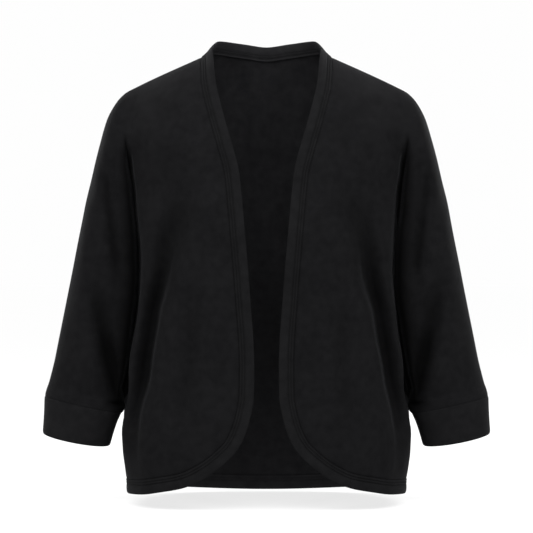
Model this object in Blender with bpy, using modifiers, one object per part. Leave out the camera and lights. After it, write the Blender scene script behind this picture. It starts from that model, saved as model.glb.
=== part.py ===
"""Open-front dolman cardigan with three-quarter sleeves, filled out with nobody in it.

Sizes are in millimetres and become metres when a mesh is made. X runs to the wearer's left, the
front faces -Y and Z is up. Height 0 is the point where the shoulder seam meets the neck.
"""
import math

import bpy
import numpy as np

MM = 0.001

# Cloth and seams.
CLOTH = 1.6
BAND_CLOTH = 2.4
CUFF_CLOTH = 2.2
SEAM_GAP = 0.3
BAND_WIDTH = 20.5

# Heights that divide the cut.
NECK_HEIGHT = 0.5
YOKE_HEIGHT = -180.0
UNDERARM_HEIGHT = -496.0
UNDERARM_RISE = 23.0
SHOULDER_EDGE_HEIGHT = -41.0
SHOULDER_POINT_HEIGHT = -58.0
CUFF_SEAM_INNER_HEIGHT = -511.0
CUFF_SEAM_OUTER_HEIGHT = -487.0
SIDE_HEM_HEIGHT = -603.0
BACK_HEM_HEIGHT = -616.0

# Roundness of the body's cross-section: 2 is an ellipse, more is squarer.
BODY_SQUARENESS = 2.8
EDGE_SHARE = 0.97
FLAT_SHARE = 0.85
ARM_START = 58.0
UNDER_ARM_ANGLES = (0.0, 14.0, 28.0, 42.0)
SIDE_WALL_MARGIN = 6.0
ARM_BRIDGE_SHARE = 0.7
DEEP_CREASE = 0.35
FULL_CREASE = 0.85
BODY_WALL_SHARE = 0.5
ARM_WALL_SHARE = 0.55
TOP_WALL_SHARE = 0.1
YOKE_CURVE = 1.3
CENTRE_BACK_CURVE = 1.7
NECK_POINT_CURVE = 0.9
NECK_SHARE_BELOW = 0.66
NECK_FADE_CURVE = 0.7
SPREAD_CURVE = 0.7
COLUMNS_BEYOND_NECK = 7

# One row for each height of the body and upper sleeve. A crease of 1 reaches the underarm seam.
LEVEL_COLUMNS = (
    "height", "half_width", "gap", "front", "back",
    "arm_front", "arm_back", "front_crease", "back_crease",
)
LEVELS = (
    (-605, 202.0, 4, 127, 125, 36, 36, 1.00, 1.00),
    (-561, 208.0, 4, 126, 121, 36, 36, 1.00, 1.00),
    (-511, 205.8, 3, 124, 115, 37, 37, 1.00, 1.00),
    (-496, 203.2, 4, 123, 113, 39, 39, 1.00, 1.00),
    (-464, 198.2, 6, 122, 108, 43, 43, 0.985, 0.98),
    (-434, 194.3, 9, 121, 103, 45, 46, 0.97, 0.95),
    (-390, 187.0, 11, 120, 97, 46, 47, 0.95, 0.88),
    (-344, 181.0, 12, 120, 94, 47, 49, 0.92, 0.80),
    (-309, 179.4, 12, 121, 95, 48, 50, 0.89, 0.72),
    (-266, 181.0, 12, 121, 98, 50, 52, 0.84, 0.60),
    (-221, 185.0, 12, 117, 102, 51, 53, 0.75, 0.44),
    (-180, 189.2, 11, 110, 104, 52, 54, 0.58, 0.25),
    (-160, 192.5, 10, 110, 104, 52, 54, 0.40, 0.14),
    (-140, 195.7, 8, 110, 104, 52, 54, 0.20, 0.05),
    (-120, 198.6, 5, 110, 104, 52, 54, 0.04, 0.00),
    (-107, 200.0, 4, 110, 104, 52, 54, 0.00, 0.00),
    (-40, 190.0, 4, 110, 104, 52, 54, 0.00, 0.00),
)

# Front edge of the front panel, from its rounded corner up to the neck.
FRONT_EDGE = (
    (-561, 74.9), (-544, 58.2), (-529, 49.9), (-502, 41.6), (-480, 38.0), (-440, 37.4),
    (-401, 38.6), (-362, 41.5), (-310, 45.3), (-263, 49.3), (-207, 54.3), (-169, 58.5),
    (-136, 67.1), (-90, 80.2), (-39, 91.3), (0.5, 93.5),
)

# Overarm line, the outer edge of the sleeve seen from the front.
OVERARM = (
    (-539, 323.3), (-500, 320.0), (-487, 320.6), (-464, 314.6), (-435, 307.4), (-406, 301.6),
    (-348, 290.0), (-290, 278.4), (-232, 266.8), (-203, 261.0), (-174, 253.7), (-145, 246.5),
    (-116, 239.0), (-101, 235.0), (-87, 230.5), (-72, 223.3), (-58, 214.6),
)

# Middle of the sleeve from front to back: it swings a little forward towards the cuff.
ARM_LINE = ((-557, -11.0), (-511, -6.0), (-496, -3.0), (-464, -1.0), (-309, 0.0), (0, 0.0))

# How much higher the overarm lies than the underside on one section of the sleeve.
SLEEVE_RISE = (
    (-511, 24.0), (-496, UNDERARM_RISE), (-464, 20.0), (-390, 12.0), (-309, 4.0), (-221, 0.0), (0, 0.0),
)

# Seam of the front hem, from the rounded corner to the side seam.
FRONT_HEM = (
    (74.9, -561.0), (90.3, -572.5), (120.0, -587.7), (152.0, -595.0), (179.0, -600.5), (200.5, -603.0),
)
HEM_JOIN_ACROSS = 122.0

# Neckline of the back panel: how far behind and above the neck point it runs.
NECK_HALF_WIDTH = 93.5
NECKLINE = (
    (-40.0, 59.0, 9.5), (0.0, 65.0, 5.0), (40.0, 59.0, 9.5), (76.0, 38.0, 13.0),
    (88.0, 20.0, 8.0), (NECK_HALF_WIDTH, 0.0, 0.0),
)

# Which way the neck band stands at the shoulder seam and at the centre back.
SHOULDER_BAND_LEAN = (-0.52, 0.0, 0.85)
CENTRE_BAND_LEAN = (0.0, -0.25, 0.97)
BAND_STANDS_ABOVE = 70.0
BAND_FIRST_BEND = 0.15
FRAME_PASSES = 4

# Which way the hem bands hang.
HEM_FALL = (0.0, 0.0, -1.0)
HEM_FALL_REACH = 50.0
BACK_HEM_FLARE = 0.3

# The long trough of each front, and the soft one that mirrors it on the back.
FRONT_TROUGH_LINE = (
    (-603, 199.0), (-555, 195.5), (-493, 186.0), (-420, 171.0), (-362, 157.0), (-309, 147.0),
    (-266, 136.0), (-221, 121.0), (-180, 112.0), (-107, 122.0), (-40, 140.0),
)
BACK_TROUGH_LINE = (
    (-603, 172.0), (-493, 166.0), (-362, 150.0), (-266, 138.0), (-180, 132.0), (-40, 140.0),
)
# One row for each height: how deep the front and the back trough are.
TROUGH_DEPTHS = (
    (-605, 1.0, 1.0), (-555, 6.0, 3.0), (-493, 13.0, 5.0), (-420, 16.0, 6.0), (-362, 15.0, 6.0),
    (-309, 12.0, 5.0), (-266, 8.0, 3.0), (-221, 4.0, 1.5), (-170, 0.0, 0.0), (0, 0.0, 0.0),
)
TROUGH_RIDGE = 7.5
TROUGH_SLOPE = (9.0, 20.0)
TROUGH_MARGIN = 12.0
TROUGH_PROFILE = (-0.10, 1.0, 0.72, 0.25)

# Drag folds on the front of each sleeve.
SLEEVE_FOLDS = (
    {
        "line": ((-470, 214.0), (-450, 219.0), (-406, 227.0), (-377, 236.0), (-344, 242.0)),
        "depth": 5.0,
        "width": 9.0,
    },
    {
        "line": ((-299, 206.0), (-250, 212.0), (-200, 219.0)),
        "depth": 2.5,
        "width": 7.0,
    },
)
FOLD_FADE = 20.0

# Free edge of the cuff.
CUFF_END = {"inner": 226.0, "outer": 323.3, "inner_height": -557.0, "outer_height": -539.4, "depth": 33.0}
CUFF_DIP = 0.12
CUFF_CURVE_INNER = 0.7
CUFF_CURVE_OUTER = 1.8

# Rows and columns of the meshes.
YOKE_ROWS = 9
BODY_ROWS = 12
SKIRT_ROWS = 5
SLEEVE_END_ROWS = 2
CHEST_COLUMNS = 5
NECK_COLUMNS = 6
BACK_COLUMNS = 2
WALL_COLUMNS = 3
SLEEVE_COLUMNS = 7
TROUGH_COLUMNS = 5
FLAT_POINTS = 6
SIDE_POINTS = 5
ARM_POINTS = 7
RING_POINTS = 8
SPLINE_STEPS = 12
BAND_STRIPS = 3
CUFF_STRIPS = 3

JERSEY = (0.0105, 0.0105, 0.0115, 1.0)
JERSEY_ROUGHNESS = 0.92
RIB = (0.0125, 0.0125, 0.0135, 1.0)
RIB_ROUGHNESS = 0.9


def table_value(table, at, column=1):
    """Smooth value of one column of a table whose first column rises."""
    data = np.array(table, dtype=float)
    xs = data[:, 0]
    ys = data[:, column]
    steps = np.diff(xs)
    slopes = np.diff(ys) / steps
    tangents = np.zeros(len(xs))
    tangents[0] = slopes[0]
    tangents[-1] = slopes[-1]
    for i in range(1, len(xs) - 1):
        if slopes[i - 1] * slopes[i] > 0:
            a = 2 * steps[i] + steps[i - 1]
            b = steps[i] + 2 * steps[i - 1]
            tangents[i] = (a + b) / (a / slopes[i - 1] + b / slopes[i])
    at = np.clip(np.asarray(at, dtype=float), xs[0], xs[-1])
    i = np.clip(np.searchsorted(xs, at, side="right") - 1, 0, len(xs) - 2)
    h = steps[i]
    t = (at - xs[i]) / h
    return (
        (1 + 2 * t) * (1 - t) ** 2 * ys[i] + t * (1 - t) ** 2 * h * tangents[i]
        + t * t * (3 - 2 * t) * ys[i + 1] + t * t * (t - 1) * h * tangents[i + 1]
    )


def level(name, height):
    return float(table_value(LEVELS, height, LEVEL_COLUMNS.index(name)))


def mix(a, b, share):
    return a + (b - a) * share


def unit(vectors):
    lengths = np.linalg.norm(vectors, axis=-1, keepdims=True)
    return vectors / np.maximum(lengths, 1e-9)


def smooth_line(points):
    """Centripetal Catmull-Rom line through the points, and the sample index of each point."""
    points = np.array(points, dtype=float)
    first = 2 * points[0] - points[1]
    last = 2 * points[-1] - points[-2]
    knots = np.vstack([first, points, last])
    out = []
    for i in range(1, len(knots) - 2):
        p = knots[i - 1:i + 3]
        t = np.concatenate([[0.0], np.cumsum(np.linalg.norm(np.diff(p, axis=0), axis=1) ** 0.5)])
        s = np.linspace(t[1], t[2], SPLINE_STEPS, endpoint=False)[:, None]
        a1 = (t[1] - s) / (t[1] - t[0]) * p[0] + (s - t[0]) / (t[1] - t[0]) * p[1]
        a2 = (t[2] - s) / (t[2] - t[1]) * p[1] + (s - t[1]) / (t[2] - t[1]) * p[2]
        a3 = (t[3] - s) / (t[3] - t[2]) * p[2] + (s - t[2]) / (t[3] - t[2]) * p[3]
        b1 = (t[2] - s) / (t[2] - t[0]) * a1 + (s - t[0]) / (t[2] - t[0]) * a2
        b2 = (t[3] - s) / (t[3] - t[1]) * a2 + (s - t[1]) / (t[3] - t[1]) * a3
        out.append((t[2] - s) / (t[2] - t[1]) * b1 + (s - t[1]) / (t[2] - t[1]) * b2)
    out.append(points[-1:])
    return np.vstack(out), [i * SPLINE_STEPS for i in range(len(points))]


def lengths_along(line):
    return np.concatenate([[0.0], np.cumsum(np.linalg.norm(np.diff(line, axis=0), axis=1))])


def at_lengths(line, along, wanted):
    return np.stack([np.interp(wanted, along, line[:, k]) for k in range(line.shape[1])], axis=1)


def body_arc(half_width, depth, start_across, end_share, count):
    """Cross-section of the body as (across, depth) from a start to a share of its half width."""
    power = 2 / BODY_SQUARENESS
    start = math.asin(min(1.0, (start_across / half_width) ** (1 / power)))
    end = math.asin(min(1.0, end_share ** (1 / power)))
    angles = np.linspace(start, end, count)
    return np.stack([half_width * np.sin(angles) ** power, depth * np.cos(angles) ** power], axis=1)


def arm_arc(inner, outer, depth, degrees):
    """Cross-section of the sleeve as (across, depth) at angles from its inner side to the overarm."""
    angles = np.radians(degrees)
    middle = (inner + outer) / 2
    radius = (outer - inner) / 2
    return np.stack([middle - radius * np.cos(angles), depth * np.sin(angles)], axis=1)


def row_sizes(face, front_height, side_height, outer_height):
    """Sizes of one row, taken to the cloth's inner face."""
    sizes = {name: level(name, side_height) for name in LEVEL_COLUMNS[1:]}
    return {
        "front_edge": float(table_value(FRONT_EDGE, front_height)),
        "start": float(table_value(FRONT_EDGE, front_height)) if face == "front" else 0.0,
        "half_width": sizes["half_width"] - CLOTH,
        "gap": sizes["gap"] + 2 * CLOTH,
        "depth": sizes[face] - CLOTH,
        "arm_depth": sizes["arm_" + face] - CLOTH,
        "crease": sizes[face + "_crease"],
        "outer": float(table_value(OVERARM, outer_height)) - CLOTH,
        "arm_middle": float(table_value(ARM_LINE, side_height)),
    }


def trough_columns(line, along, end, face, side_height, spread=1.0):
    """Lengths of the columns from the start to the body's edge, gathered at the long trough."""
    table = FRONT_TROUGH_LINE if face == "front" else BACK_TROUGH_LINE
    trough_across = float(table_value(table, side_height))
    across = line[:end, 0]
    place = float(np.interp(trough_across, across, along[:end]))
    edge = along[end]
    slope = TROUGH_SLOPE
    place = min(place, edge - slope[1] - TROUGH_MARGIN)
    ridge = place - TROUGH_RIDGE
    if face == "front":
        head = np.linspace(0.0, ridge, CHEST_COLUMNS + 1)
    else:
        neck_across = mix(NECK_HALF_WIDTH, NECK_SHARE_BELOW * line[end, 0], spread)
        neck = float(np.interp(neck_across, across, along[:end]))
        shares = np.linspace(0.0, 1.0, NECK_COLUMNS + 1)
        shares = mix(np.sin(shares * math.pi / 2), shares, spread)
        ridge = max(ridge, neck + TROUGH_MARGIN)
        place = max(place, ridge + TROUGH_RIDGE)
        head = np.concatenate([neck * shares, np.linspace(neck, ridge, BACK_COLUMNS + 1)[1:]])
    after = np.array([place, place + slope[0], place + slope[1]])
    middle = (after[-1] + edge) / 2
    return np.concatenate([head, after, [middle, edge]])


def push_in(points, across_columns, face, side_height):
    """Press the long trough into a row of (across, depth) points."""
    column = 1 if face == "front" else 2
    depth = float(table_value(TROUGH_DEPTHS, side_height, column))
    tangent = unit(np.gradient(points, axis=0))
    inward = np.stack([-tangent[:, 1], tangent[:, 0]], axis=1)
    inward *= -np.sign(inward[:, 1:2] + 1e-9)
    for offset, share in enumerate(TROUGH_PROFILE):
        column_at = across_columns + offset - 1
        points[column_at] += inward[column_at] * depth * share


def sleeve_fold(points, height, first, last):
    """Press the drag folds into the front of the sleeve."""
    for fold in SLEEVE_FOLDS:
        line = fold["line"]
        centre = float(table_value(line, height))
        beyond = max(line[0][0] - height, height - line[-1][0], 0.0)
        fade = math.exp(-(beyond / FOLD_FADE) ** 2)
        for j in range(first, last):
            bump = math.exp(-((points[j, 0] - centre) / fold["width"]) ** 2)
            points[j, 1] -= fold["depth"] * fade * bump


def neck_shares(count):
    """How far each back column lies from the centre back to the neck point, 1 from there on."""
    return np.clip(np.arange(count) / NECK_COLUMNS, 0, 1)


def column_curves(count):
    """How fast each back column leaves the neckline or the shoulder seam."""
    beyond = np.clip((np.arange(count) - NECK_COLUMNS) / COLUMNS_BEYOND_NECK, 0, 1)
    neck = mix(CENTRE_BACK_CURVE, NECK_POINT_CURVE, neck_shares(count) ** 2)
    return np.where(beyond > 0, mix(NECK_POINT_CURVE, YOKE_CURVE, beyond), neck)


def common_row(face, front_height, side_height, outer_height, lift):
    """One row that runs from the front edge, or centre back, over the sleeve to the overarm line."""
    s = row_sizes(face, front_height, side_height, outer_height)
    width = s["half_width"]
    inner = width + s["gap"]
    crease = s["crease"]
    deep = min(1.0, crease / DEEP_CREASE)
    full = min(1.0, crease / FULL_CREASE)
    flat = body_arc(width, s["depth"], s["start"], FLAT_SHARE, FLAT_POINTS)
    edge_depth = body_arc(width, s["depth"], 0.0, EDGE_SHARE, 2)[-1, 1]
    bridge = mix(flat[-1, 1], s["arm_depth"], ARM_BRIDGE_SHARE)
    edge = np.array([EDGE_SHARE * width, mix(bridge, edge_depth, full)])
    arm = arm_arc(inner, s["outer"], s["arm_depth"], np.linspace(ARM_START, 180.0, ARM_POINTS))
    crest = np.array([(inner + s["outer"]) / 2, s["arm_depth"]])
    bridged = np.interp(arm[:, 0], [edge[0], crest[0]], [edge[1], crest[1]])
    bridged = np.where(arm[:, 0] < crest[0], np.maximum(bridged, arm[:, 1]), arm[:, 1])
    arm[:, 1] = mix(bridged, arm[:, 1], full)
    middle = width + s["gap"] / 2
    plain = np.interp([width, middle, inner], [edge[0], arm[0, 0]], [edge[1], arm[0, 1]])
    valley = np.array([middle, mix(plain[1], SEAM_GAP / 2, crease)])
    fall = (plain[1] - valley[1]) * TOP_WALL_SHARE
    body_low = mix(edge[1], valley[1], BODY_WALL_SHARE)
    arm_low = mix(arm[0, 1], valley[1], ARM_WALL_SHARE)
    body_wall = np.array([width, mix(plain[0] - fall, body_low, deep)])
    arm_wall = np.array([inner, mix(plain[2] - fall, arm_low, deep)])
    points = np.vstack([flat, edge, body_wall, valley, arm_wall, arm])
    line, index = smooth_line(points)
    along = lengths_along(line)
    first, last, arm_start = index[FLAT_POINTS], index[FLAT_POINTS + 2], index[FLAT_POINTS + 4]
    chest = trough_columns(line, along, first, face, side_height, lift ** SPREAD_CURVE)
    wall = np.linspace(along[first], along[last], WALL_COLUMNS + 2)[1:]
    inside = np.linspace(along[last], along[arm_start], WALL_COLUMNS + 1)[1:]
    over = np.linspace(along[arm_start], along[-1], SLEEVE_COLUMNS + 1)[1:]
    row = at_lengths(line, along, np.concatenate([chest, wall, inside, over]))
    push_in(row, len(chest) - TROUGH_COLUMNS, face, side_height)
    if face == "front":
        sleeve_fold(row, side_height, len(chest) + len(wall), len(row) - 1)
    if face == "back":
        lift = lift ** (column_curves(len(row)) / YOKE_CURVE)
    row[:, 1] = row[:, 1] * lift
    return row, s


def row_heights(across, s, front_height, side_height, outer_height):
    body_share = np.clip((across - s["front_edge"]) / (s["half_width"] - s["front_edge"]), 0, 1)
    arm_share = np.clip((across - s["half_width"]) / (s["outer"] - s["half_width"]), 0, 1)
    fall = (side_height - front_height) * body_share
    return front_height + fall + (outer_height - side_height) * arm_share


def place_row(row, face, heights, arm_middle, first_arm):
    """Turn (across, depth) points into world points, in millimetres."""
    sign = -1.0 if face == "front" else 1.0
    out = np.zeros((len(row), 3))
    out[:, 0] = row[:, 0]
    out[:, 1] = sign * row[:, 1]
    ramp = np.linspace(0.0, 1.0, len(row) - first_arm)
    out[first_arm:, 1] += arm_middle * ramp ** 0.5
    out[:, 2] = heights
    return out


def column_counts(face):
    chest = CHEST_COLUMNS if face == "front" else NECK_COLUMNS + BACK_COLUMNS
    edge = chest + TROUGH_COLUMNS
    valley = edge + WALL_COLUMNS + 1
    last = valley + WALL_COLUMNS + SLEEVE_COLUMNS
    return edge, valley, last


def half_panel(face):
    """Rows of one half panel: the common rows, then the skirt rows and the sleeve end rows."""
    edge, valley, last = column_counts(face)
    common = []
    for i in range(YOKE_ROWS + 1):
        angle = math.radians(90.0 * i / YOKE_ROWS)
        fall = 1 - math.cos(angle)
        front_height = mix(NECK_HEIGHT, YOKE_HEIGHT, fall)
        side_height = mix(SHOULDER_EDGE_HEIGHT, YOKE_HEIGHT, fall)
        outer_height = mix(SHOULDER_POINT_HEIGHT, YOKE_HEIGHT, fall)
        lift = math.sin(angle) ** YOKE_CURVE
        row, s = common_row(face, front_height, side_height, outer_height, lift)
        heights = row_heights(row[:, 0], s, front_height, side_height, outer_height)
        if face == "back":
            if i == 0:
                neck_across = row[:, 0].copy()
            rise = lift ** (column_curves(len(row)) / YOKE_CURVE)
            fading = (1 - rise) ** (1 + NECK_FADE_CURVE * neck_shares(len(row)) ** 2)
            row[:, 1] += table_value(NECKLINE, neck_across, 1) * fading
            heights = heights + table_value(NECKLINE, neck_across, 2) * fading
        common.append(place_row(row, face, heights, s["arm_middle"] * lift, valley))
    for i in range(1, BODY_ROWS + 1):
        height = mix(YOKE_HEIGHT, UNDERARM_HEIGHT, i / BODY_ROWS)
        outer_height = height + float(table_value(SLEEVE_RISE, height))
        row, s = common_row(face, height, height, outer_height, 1.0)
        heights = row_heights(row[:, 0], s, height, height, outer_height)
        common.append(place_row(row, face, heights, s["arm_middle"], valley))
    skirt = [skirt_row(face, i / SKIRT_ROWS, edge, valley) for i in range(1, SKIRT_ROWS + 1)]
    sleeve = [sleeve_row(face, i / SLEEVE_END_ROWS) for i in range(1, SLEEVE_END_ROWS + 1)]
    seam_inset(common, skirt, sleeve, face)
    return {"common": common, "skirt": skirt, "sleeve": sleeve, "valley": valley, "face": face}


def hem_height(across, face):
    if face == "front":
        return table_value(FRONT_HEM, np.maximum(across, FRONT_HEM[0][0]))
    half = FRONT_HEM[-1][0]
    return BACK_HEM_HEIGHT + (SIDE_HEM_HEIGHT - BACK_HEM_HEIGHT) * np.clip(across / half, 0, 1) ** 2


def skirt_row(face, share, edge, valley):
    """One row of the body below the underarm, from the front edge or centre back to the side seam."""
    side_height = mix(UNDERARM_HEIGHT, SIDE_HEM_HEIGHT, share)
    front_height = mix(UNDERARM_HEIGHT, FRONT_HEM[0][1], share)
    s = row_sizes(face, front_height, side_height, side_height)
    flat = body_arc(s["half_width"], s["depth"], s["start"], FLAT_SHARE, FLAT_POINTS)
    wall = body_arc(s["half_width"], s["depth"], FLAT_SHARE * s["half_width"], 1.0, SIDE_POINTS)
    edge_point = body_arc(s["half_width"], s["depth"], 0.0, EDGE_SHARE, 2)[-1]
    wall = wall[wall[:, 1] < edge_point[1] - SIDE_WALL_MARGIN]
    line, index = smooth_line(np.vstack([flat, edge_point, wall]))
    along = lengths_along(line)
    start = index[FLAT_POINTS]
    chest = trough_columns(line, along, start, face, side_height)
    side = np.linspace(along[start], along[-1], valley - edge + 1)[1:]
    row = at_lengths(line, along, np.concatenate([chest, side]))
    push_in(row, len(chest) - TROUGH_COLUMNS, face, side_height)
    out = np.zeros((len(row), 3))
    out[:, 0] = row[:, 0]
    out[:, 1] = row[:, 1] * (-1.0 if face == "front" else 1.0)
    out[:, 2] = mix(UNDERARM_HEIGHT, hem_height(row[:, 0], face), share)
    return out


def sleeve_ring(face, inner, outer, depth, middle, inner_height, outer_height):
    """Half a ring of the sleeve, from its under seam round to the overarm line."""
    degrees = np.concatenate([UNDER_ARM_ANGLES, np.linspace(ARM_START, 180.0, RING_POINTS)])
    line, index = smooth_line(arm_arc(inner, outer, depth, degrees))
    along = lengths_along(line)
    start = along[index[len(UNDER_ARM_ANGLES)]]
    columns = np.concatenate([
        np.linspace(0.0, start, WALL_COLUMNS + 1),
        np.linspace(start, along[-1], SLEEVE_COLUMNS + 1)[1:],
    ])
    arc = at_lengths(line, along, columns)
    out = np.zeros((len(arc), 3))
    out[:, 0] = arc[:, 0]
    out[:, 1] = middle + arc[:, 1] * (-1.0 if face == "front" else 1.0)
    out[:, 2] = inner_height + (outer_height - inner_height) * (arc[:, 0] - inner) / (outer - inner)
    return out


def sleeve_row(face, share):
    """One row of the sleeve between the underarm and the cuff seam."""
    inner_height = mix(UNDERARM_HEIGHT, CUFF_SEAM_INNER_HEIGHT, share)
    outer_height = mix(UNDERARM_HEIGHT + UNDERARM_RISE, CUFF_SEAM_OUTER_HEIGHT, share)
    s = row_sizes(face, UNDERARM_HEIGHT, inner_height, outer_height)
    inner = s["half_width"] + s["gap"]
    return sleeve_ring(
        face, inner, s["outer"], s["arm_depth"], s["arm_middle"], inner_height, outer_height,
    )


def seam_inset(common, skirt, sleeve, face):
    """Keep half the seam gap between this panel's sewn edges and the other panel's."""
    inset = SEAM_GAP / 2 * (-1.0 if face == "front" else 1.0)
    first_seam = 0 if face == "front" else NECK_COLUMNS
    common[0][first_seam:, 1] += inset
    for row in common[1:]:
        row[-1, 1] += inset
    for row in skirt:
        row[-1, 1] += inset
    for row in sleeve:
        row[0, 1] += inset
        row[-1, 1] += inset


def mirrored(points):
    out = np.array(points, dtype=float)
    out[..., 0] *= -1
    return out


def both_sides(half):
    """A line over both sides of the garment from its half on the wearer's left."""
    return np.vstack([mirrored(half[:0:-1]), half])


class Sheet:
    """Collects the points and faces of one open surface."""

    def __init__(self):
        self.points = []
        self.faces = []

    def add(self, point):
        self.points.append(tuple(float(v) * MM for v in point))
        return len(self.points) - 1

    def strip(self, upper, lower, flip):
        for j in range(len(upper) - 1):
            face = (upper[j], lower[j], lower[j + 1], upper[j + 1])
            self.faces.append(face[::-1] if flip else face)


def row_ids(sheet, points, first=None):
    """Add a row of points; the first may already be there, on the centre line."""
    rest = [sheet.add(point) for point in (points if first is None else points[1:])]
    return rest if first is None else [first] + rest


def add_half(sheet, panel, side, shared=None):
    """Add one half panel. The side is 1 for the wearer's left and -1 for the right."""
    flip = (side < 0) != (panel["face"] == "back")
    turn = mirrored if side < 0 else np.array
    upper = None
    centre = []
    for i, row in enumerate(panel["common"]):
        ids = row_ids(sheet, turn(row), shared[i] if shared else None)
        centre.append(ids[0])
        if upper:
            sheet.strip(upper, ids, flip)
        upper = ids
    body = upper[:panel["valley"] + 1]
    arm = upper[panel["valley"]:]
    for i, row in enumerate(panel["skirt"]):
        ids = row_ids(sheet, turn(row), shared[len(panel["common"]) + i] if shared else None)
        centre.append(ids[0])
        sheet.strip(body, ids, flip)
        body = ids
    for row in panel["sleeve"]:
        ids = [sheet.add(p) for p in turn(row)]
        sheet.strip(arm, ids, flip)
        arm = ids
    return centre


def make_object(name, sheet, wall, colour, roughness):
    """Turn a sheet into a walled object: the cloth's thickness goes outward."""
    mesh = bpy.data.meshes.new(name)
    mesh.from_pydata(sheet.points, [], sheet.faces)
    mesh.validate()
    for polygon in mesh.polygons:
        polygon.use_smooth = True
    thing = bpy.data.objects.new(name, mesh)
    garment.objects.link(thing)
    solid = thing.modifiers.new("cloth", "SOLIDIFY")
    solid.thickness = wall * MM
    solid.offset = 1.0
    material = bpy.data.materials.new(name)
    material.use_nodes = True
    shader = material.node_tree.nodes["Principled BSDF"]
    shader.inputs["Base Color"].default_value = colour
    shader.inputs["Roughness"].default_value = roughness
    shader.inputs["Metallic"].default_value = 0.0
    thing.data.materials.append(material)


def edge_frame(edge, inner):
    """Direction out of the cloth, square to the edge and in the cloth's surface."""
    run = unit(np.gradient(edge, axis=0))
    out = edge - inner
    out = out - np.sum(out * run, axis=1, keepdims=True) * run
    return unit(out)


def band_strip(edge, run, start_directions, end_directions):
    """Rows of a band sewn to an edge: it leaves along the cloth and may bend as it rises."""
    current = edge + start_directions * SEAM_GAP
    rows = [current]
    for k in range(BAND_STRIPS):
        share = mix(BAND_FIRST_BEND, 1.0, k / (BAND_STRIPS - 1))
        direction = unit(start_directions * (1 - share) + end_directions * share)
        direction = unit(direction - np.sum(direction * run, axis=1, keepdims=True) * run)
        current = current + direction * BAND_WIDTH / BAND_STRIPS
        rows.append(current)
    return rows


def add_band(name, edge, run, start, end, flip):
    """Make a band along an edge, with its ends trimmed by half a seam gap."""
    edge = edge.copy()
    edge[0] += run[0] * SEAM_GAP / 2
    edge[-1] -= run[-1] * SEAM_GAP / 2
    rows = band_strip(edge, run, start, end)
    sheet = Sheet()
    ids = [[sheet.add(p) for p in row] for row in rows]
    for upper, lower in zip(ids[:-1], ids[1:]):
        sheet.strip(upper, lower, flip)
    make_object(name, sheet, BAND_CLOTH, RIB, RIB_ROUGHNESS)


def make_front(front, side, name):
    """One front panel with its half of the sleeve."""
    sheet = Sheet()
    add_half(sheet, front, side)
    make_object(name, sheet, CLOTH, JERSEY, JERSEY_ROUGHNESS)


def make_back(back):
    """The back panel with the back halves of both sleeves, in one piece."""
    sheet = Sheet()
    centre = add_half(sheet, back, 1)
    add_half(sheet, back, -1, centre)
    make_object("back", sheet, CLOTH, JERSEY, JERSEY_ROUGHNESS)


def front_edge_points(front):
    """Front edge from the neck down to the corner, then along the hem to the side seam."""
    rows = front["common"] + front["skirt"]
    edge = [row[0] for row in rows]
    inner = [row[1] for row in rows]
    hem = front["skirt"][-1]
    above = front["skirt"][-2]
    inner[-1] = (inner[-1] + above[1]) / 2
    return np.array(edge + list(hem[1:])), np.array(inner + list(above[1:]))


def band_path(front, back):
    """The bands' path from the centre back round the neck, down the front and along the hem."""
    edge, inner = front_edge_points(front)
    neck = back["common"][0][:NECK_COLUMNS + 1]
    below = back["common"][1][:NECK_COLUMNS + 1]
    path = np.vstack([mirrored(neck[1:2]), neck[:-1], edge])
    path_inner = np.vstack([mirrored(below[1:2]), below[:-1], inner])
    run = unit(np.gradient(path, axis=0))[1:]
    leaves = edge_frame(path, path_inner)[1:]
    leaves[NECK_COLUMNS] = unit(leaves[NECK_COLUMNS - 1] + leaves[NECK_COLUMNS + 1])
    for _ in range(FRAME_PASSES):
        leaves[1:-1] = unit(leaves[:-2] + 2 * leaves[1:-1] + leaves[2:])
    return path[1:], run, leaves


def band_ends(path, leaves):
    """Directions at the bands' free edge: they stand up round the neck and hang at the hem."""
    side_share = np.clip(path[:, :1] / NECK_HALF_WIDTH, 0, 1)
    stands = np.clip(1 + path[:, 2:] / BAND_STANDS_ABOVE, 0, 1)
    lean = np.hstack([
        SHOULDER_BAND_LEAN[0] * side_share,
        CENTRE_BAND_LEAN[1] * (1 - side_share),
        mix(CENTRE_BAND_LEAN[2], SHOULDER_BAND_LEAN[2], side_share),
    ])
    low = path[:, 2:] < FRONT_HEM[0][1]
    drop = np.clip((path[:, :1] - HEM_JOIN_ACROSS) / HEM_FALL_REACH, 0, 1) * low
    ends = unit(leaves * (1 - stands) + unit(lean) * stands)
    return unit(ends * (1 - drop) + np.array(HEM_FALL) * drop)


def make_front_bands(front, path, run, leaves, ends, side, name):
    """The front band down one side, and the band of that side's front hem."""
    turn = mirrored if side < 0 else np.array
    hem_start = NECK_COLUMNS + len(front["common"]) + SKIRT_ROWS - 1
    join = hem_start + int(np.argmin(np.abs(path[hem_start:, 0] - HEM_JOIN_ACROSS)))
    for piece, part in (("band_", slice(NECK_COLUMNS, join + 1)), ("hem_", slice(join, None))):
        frames = [turn(line[part]) for line in (path, run, leaves, ends)]
        add_band(piece + name, *frames, side > 0)


def make_neck_band(back, path, run, leaves, ends):
    """The band round the back of the neck, from one shoulder seam to the other."""
    part = slice(0, NECK_COLUMNS + 1)
    line = path[part].copy()
    line[-1] = back["common"][0][NECK_COLUMNS]
    half_run = run[part]
    whole_run = np.vstack([mirrored(half_run[:0:-1]) * -1, half_run])
    frames = [both_sides(line), whole_run, both_sides(leaves[part]), both_sides(ends[part])]
    add_band("neck_band", *frames, True)


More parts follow.
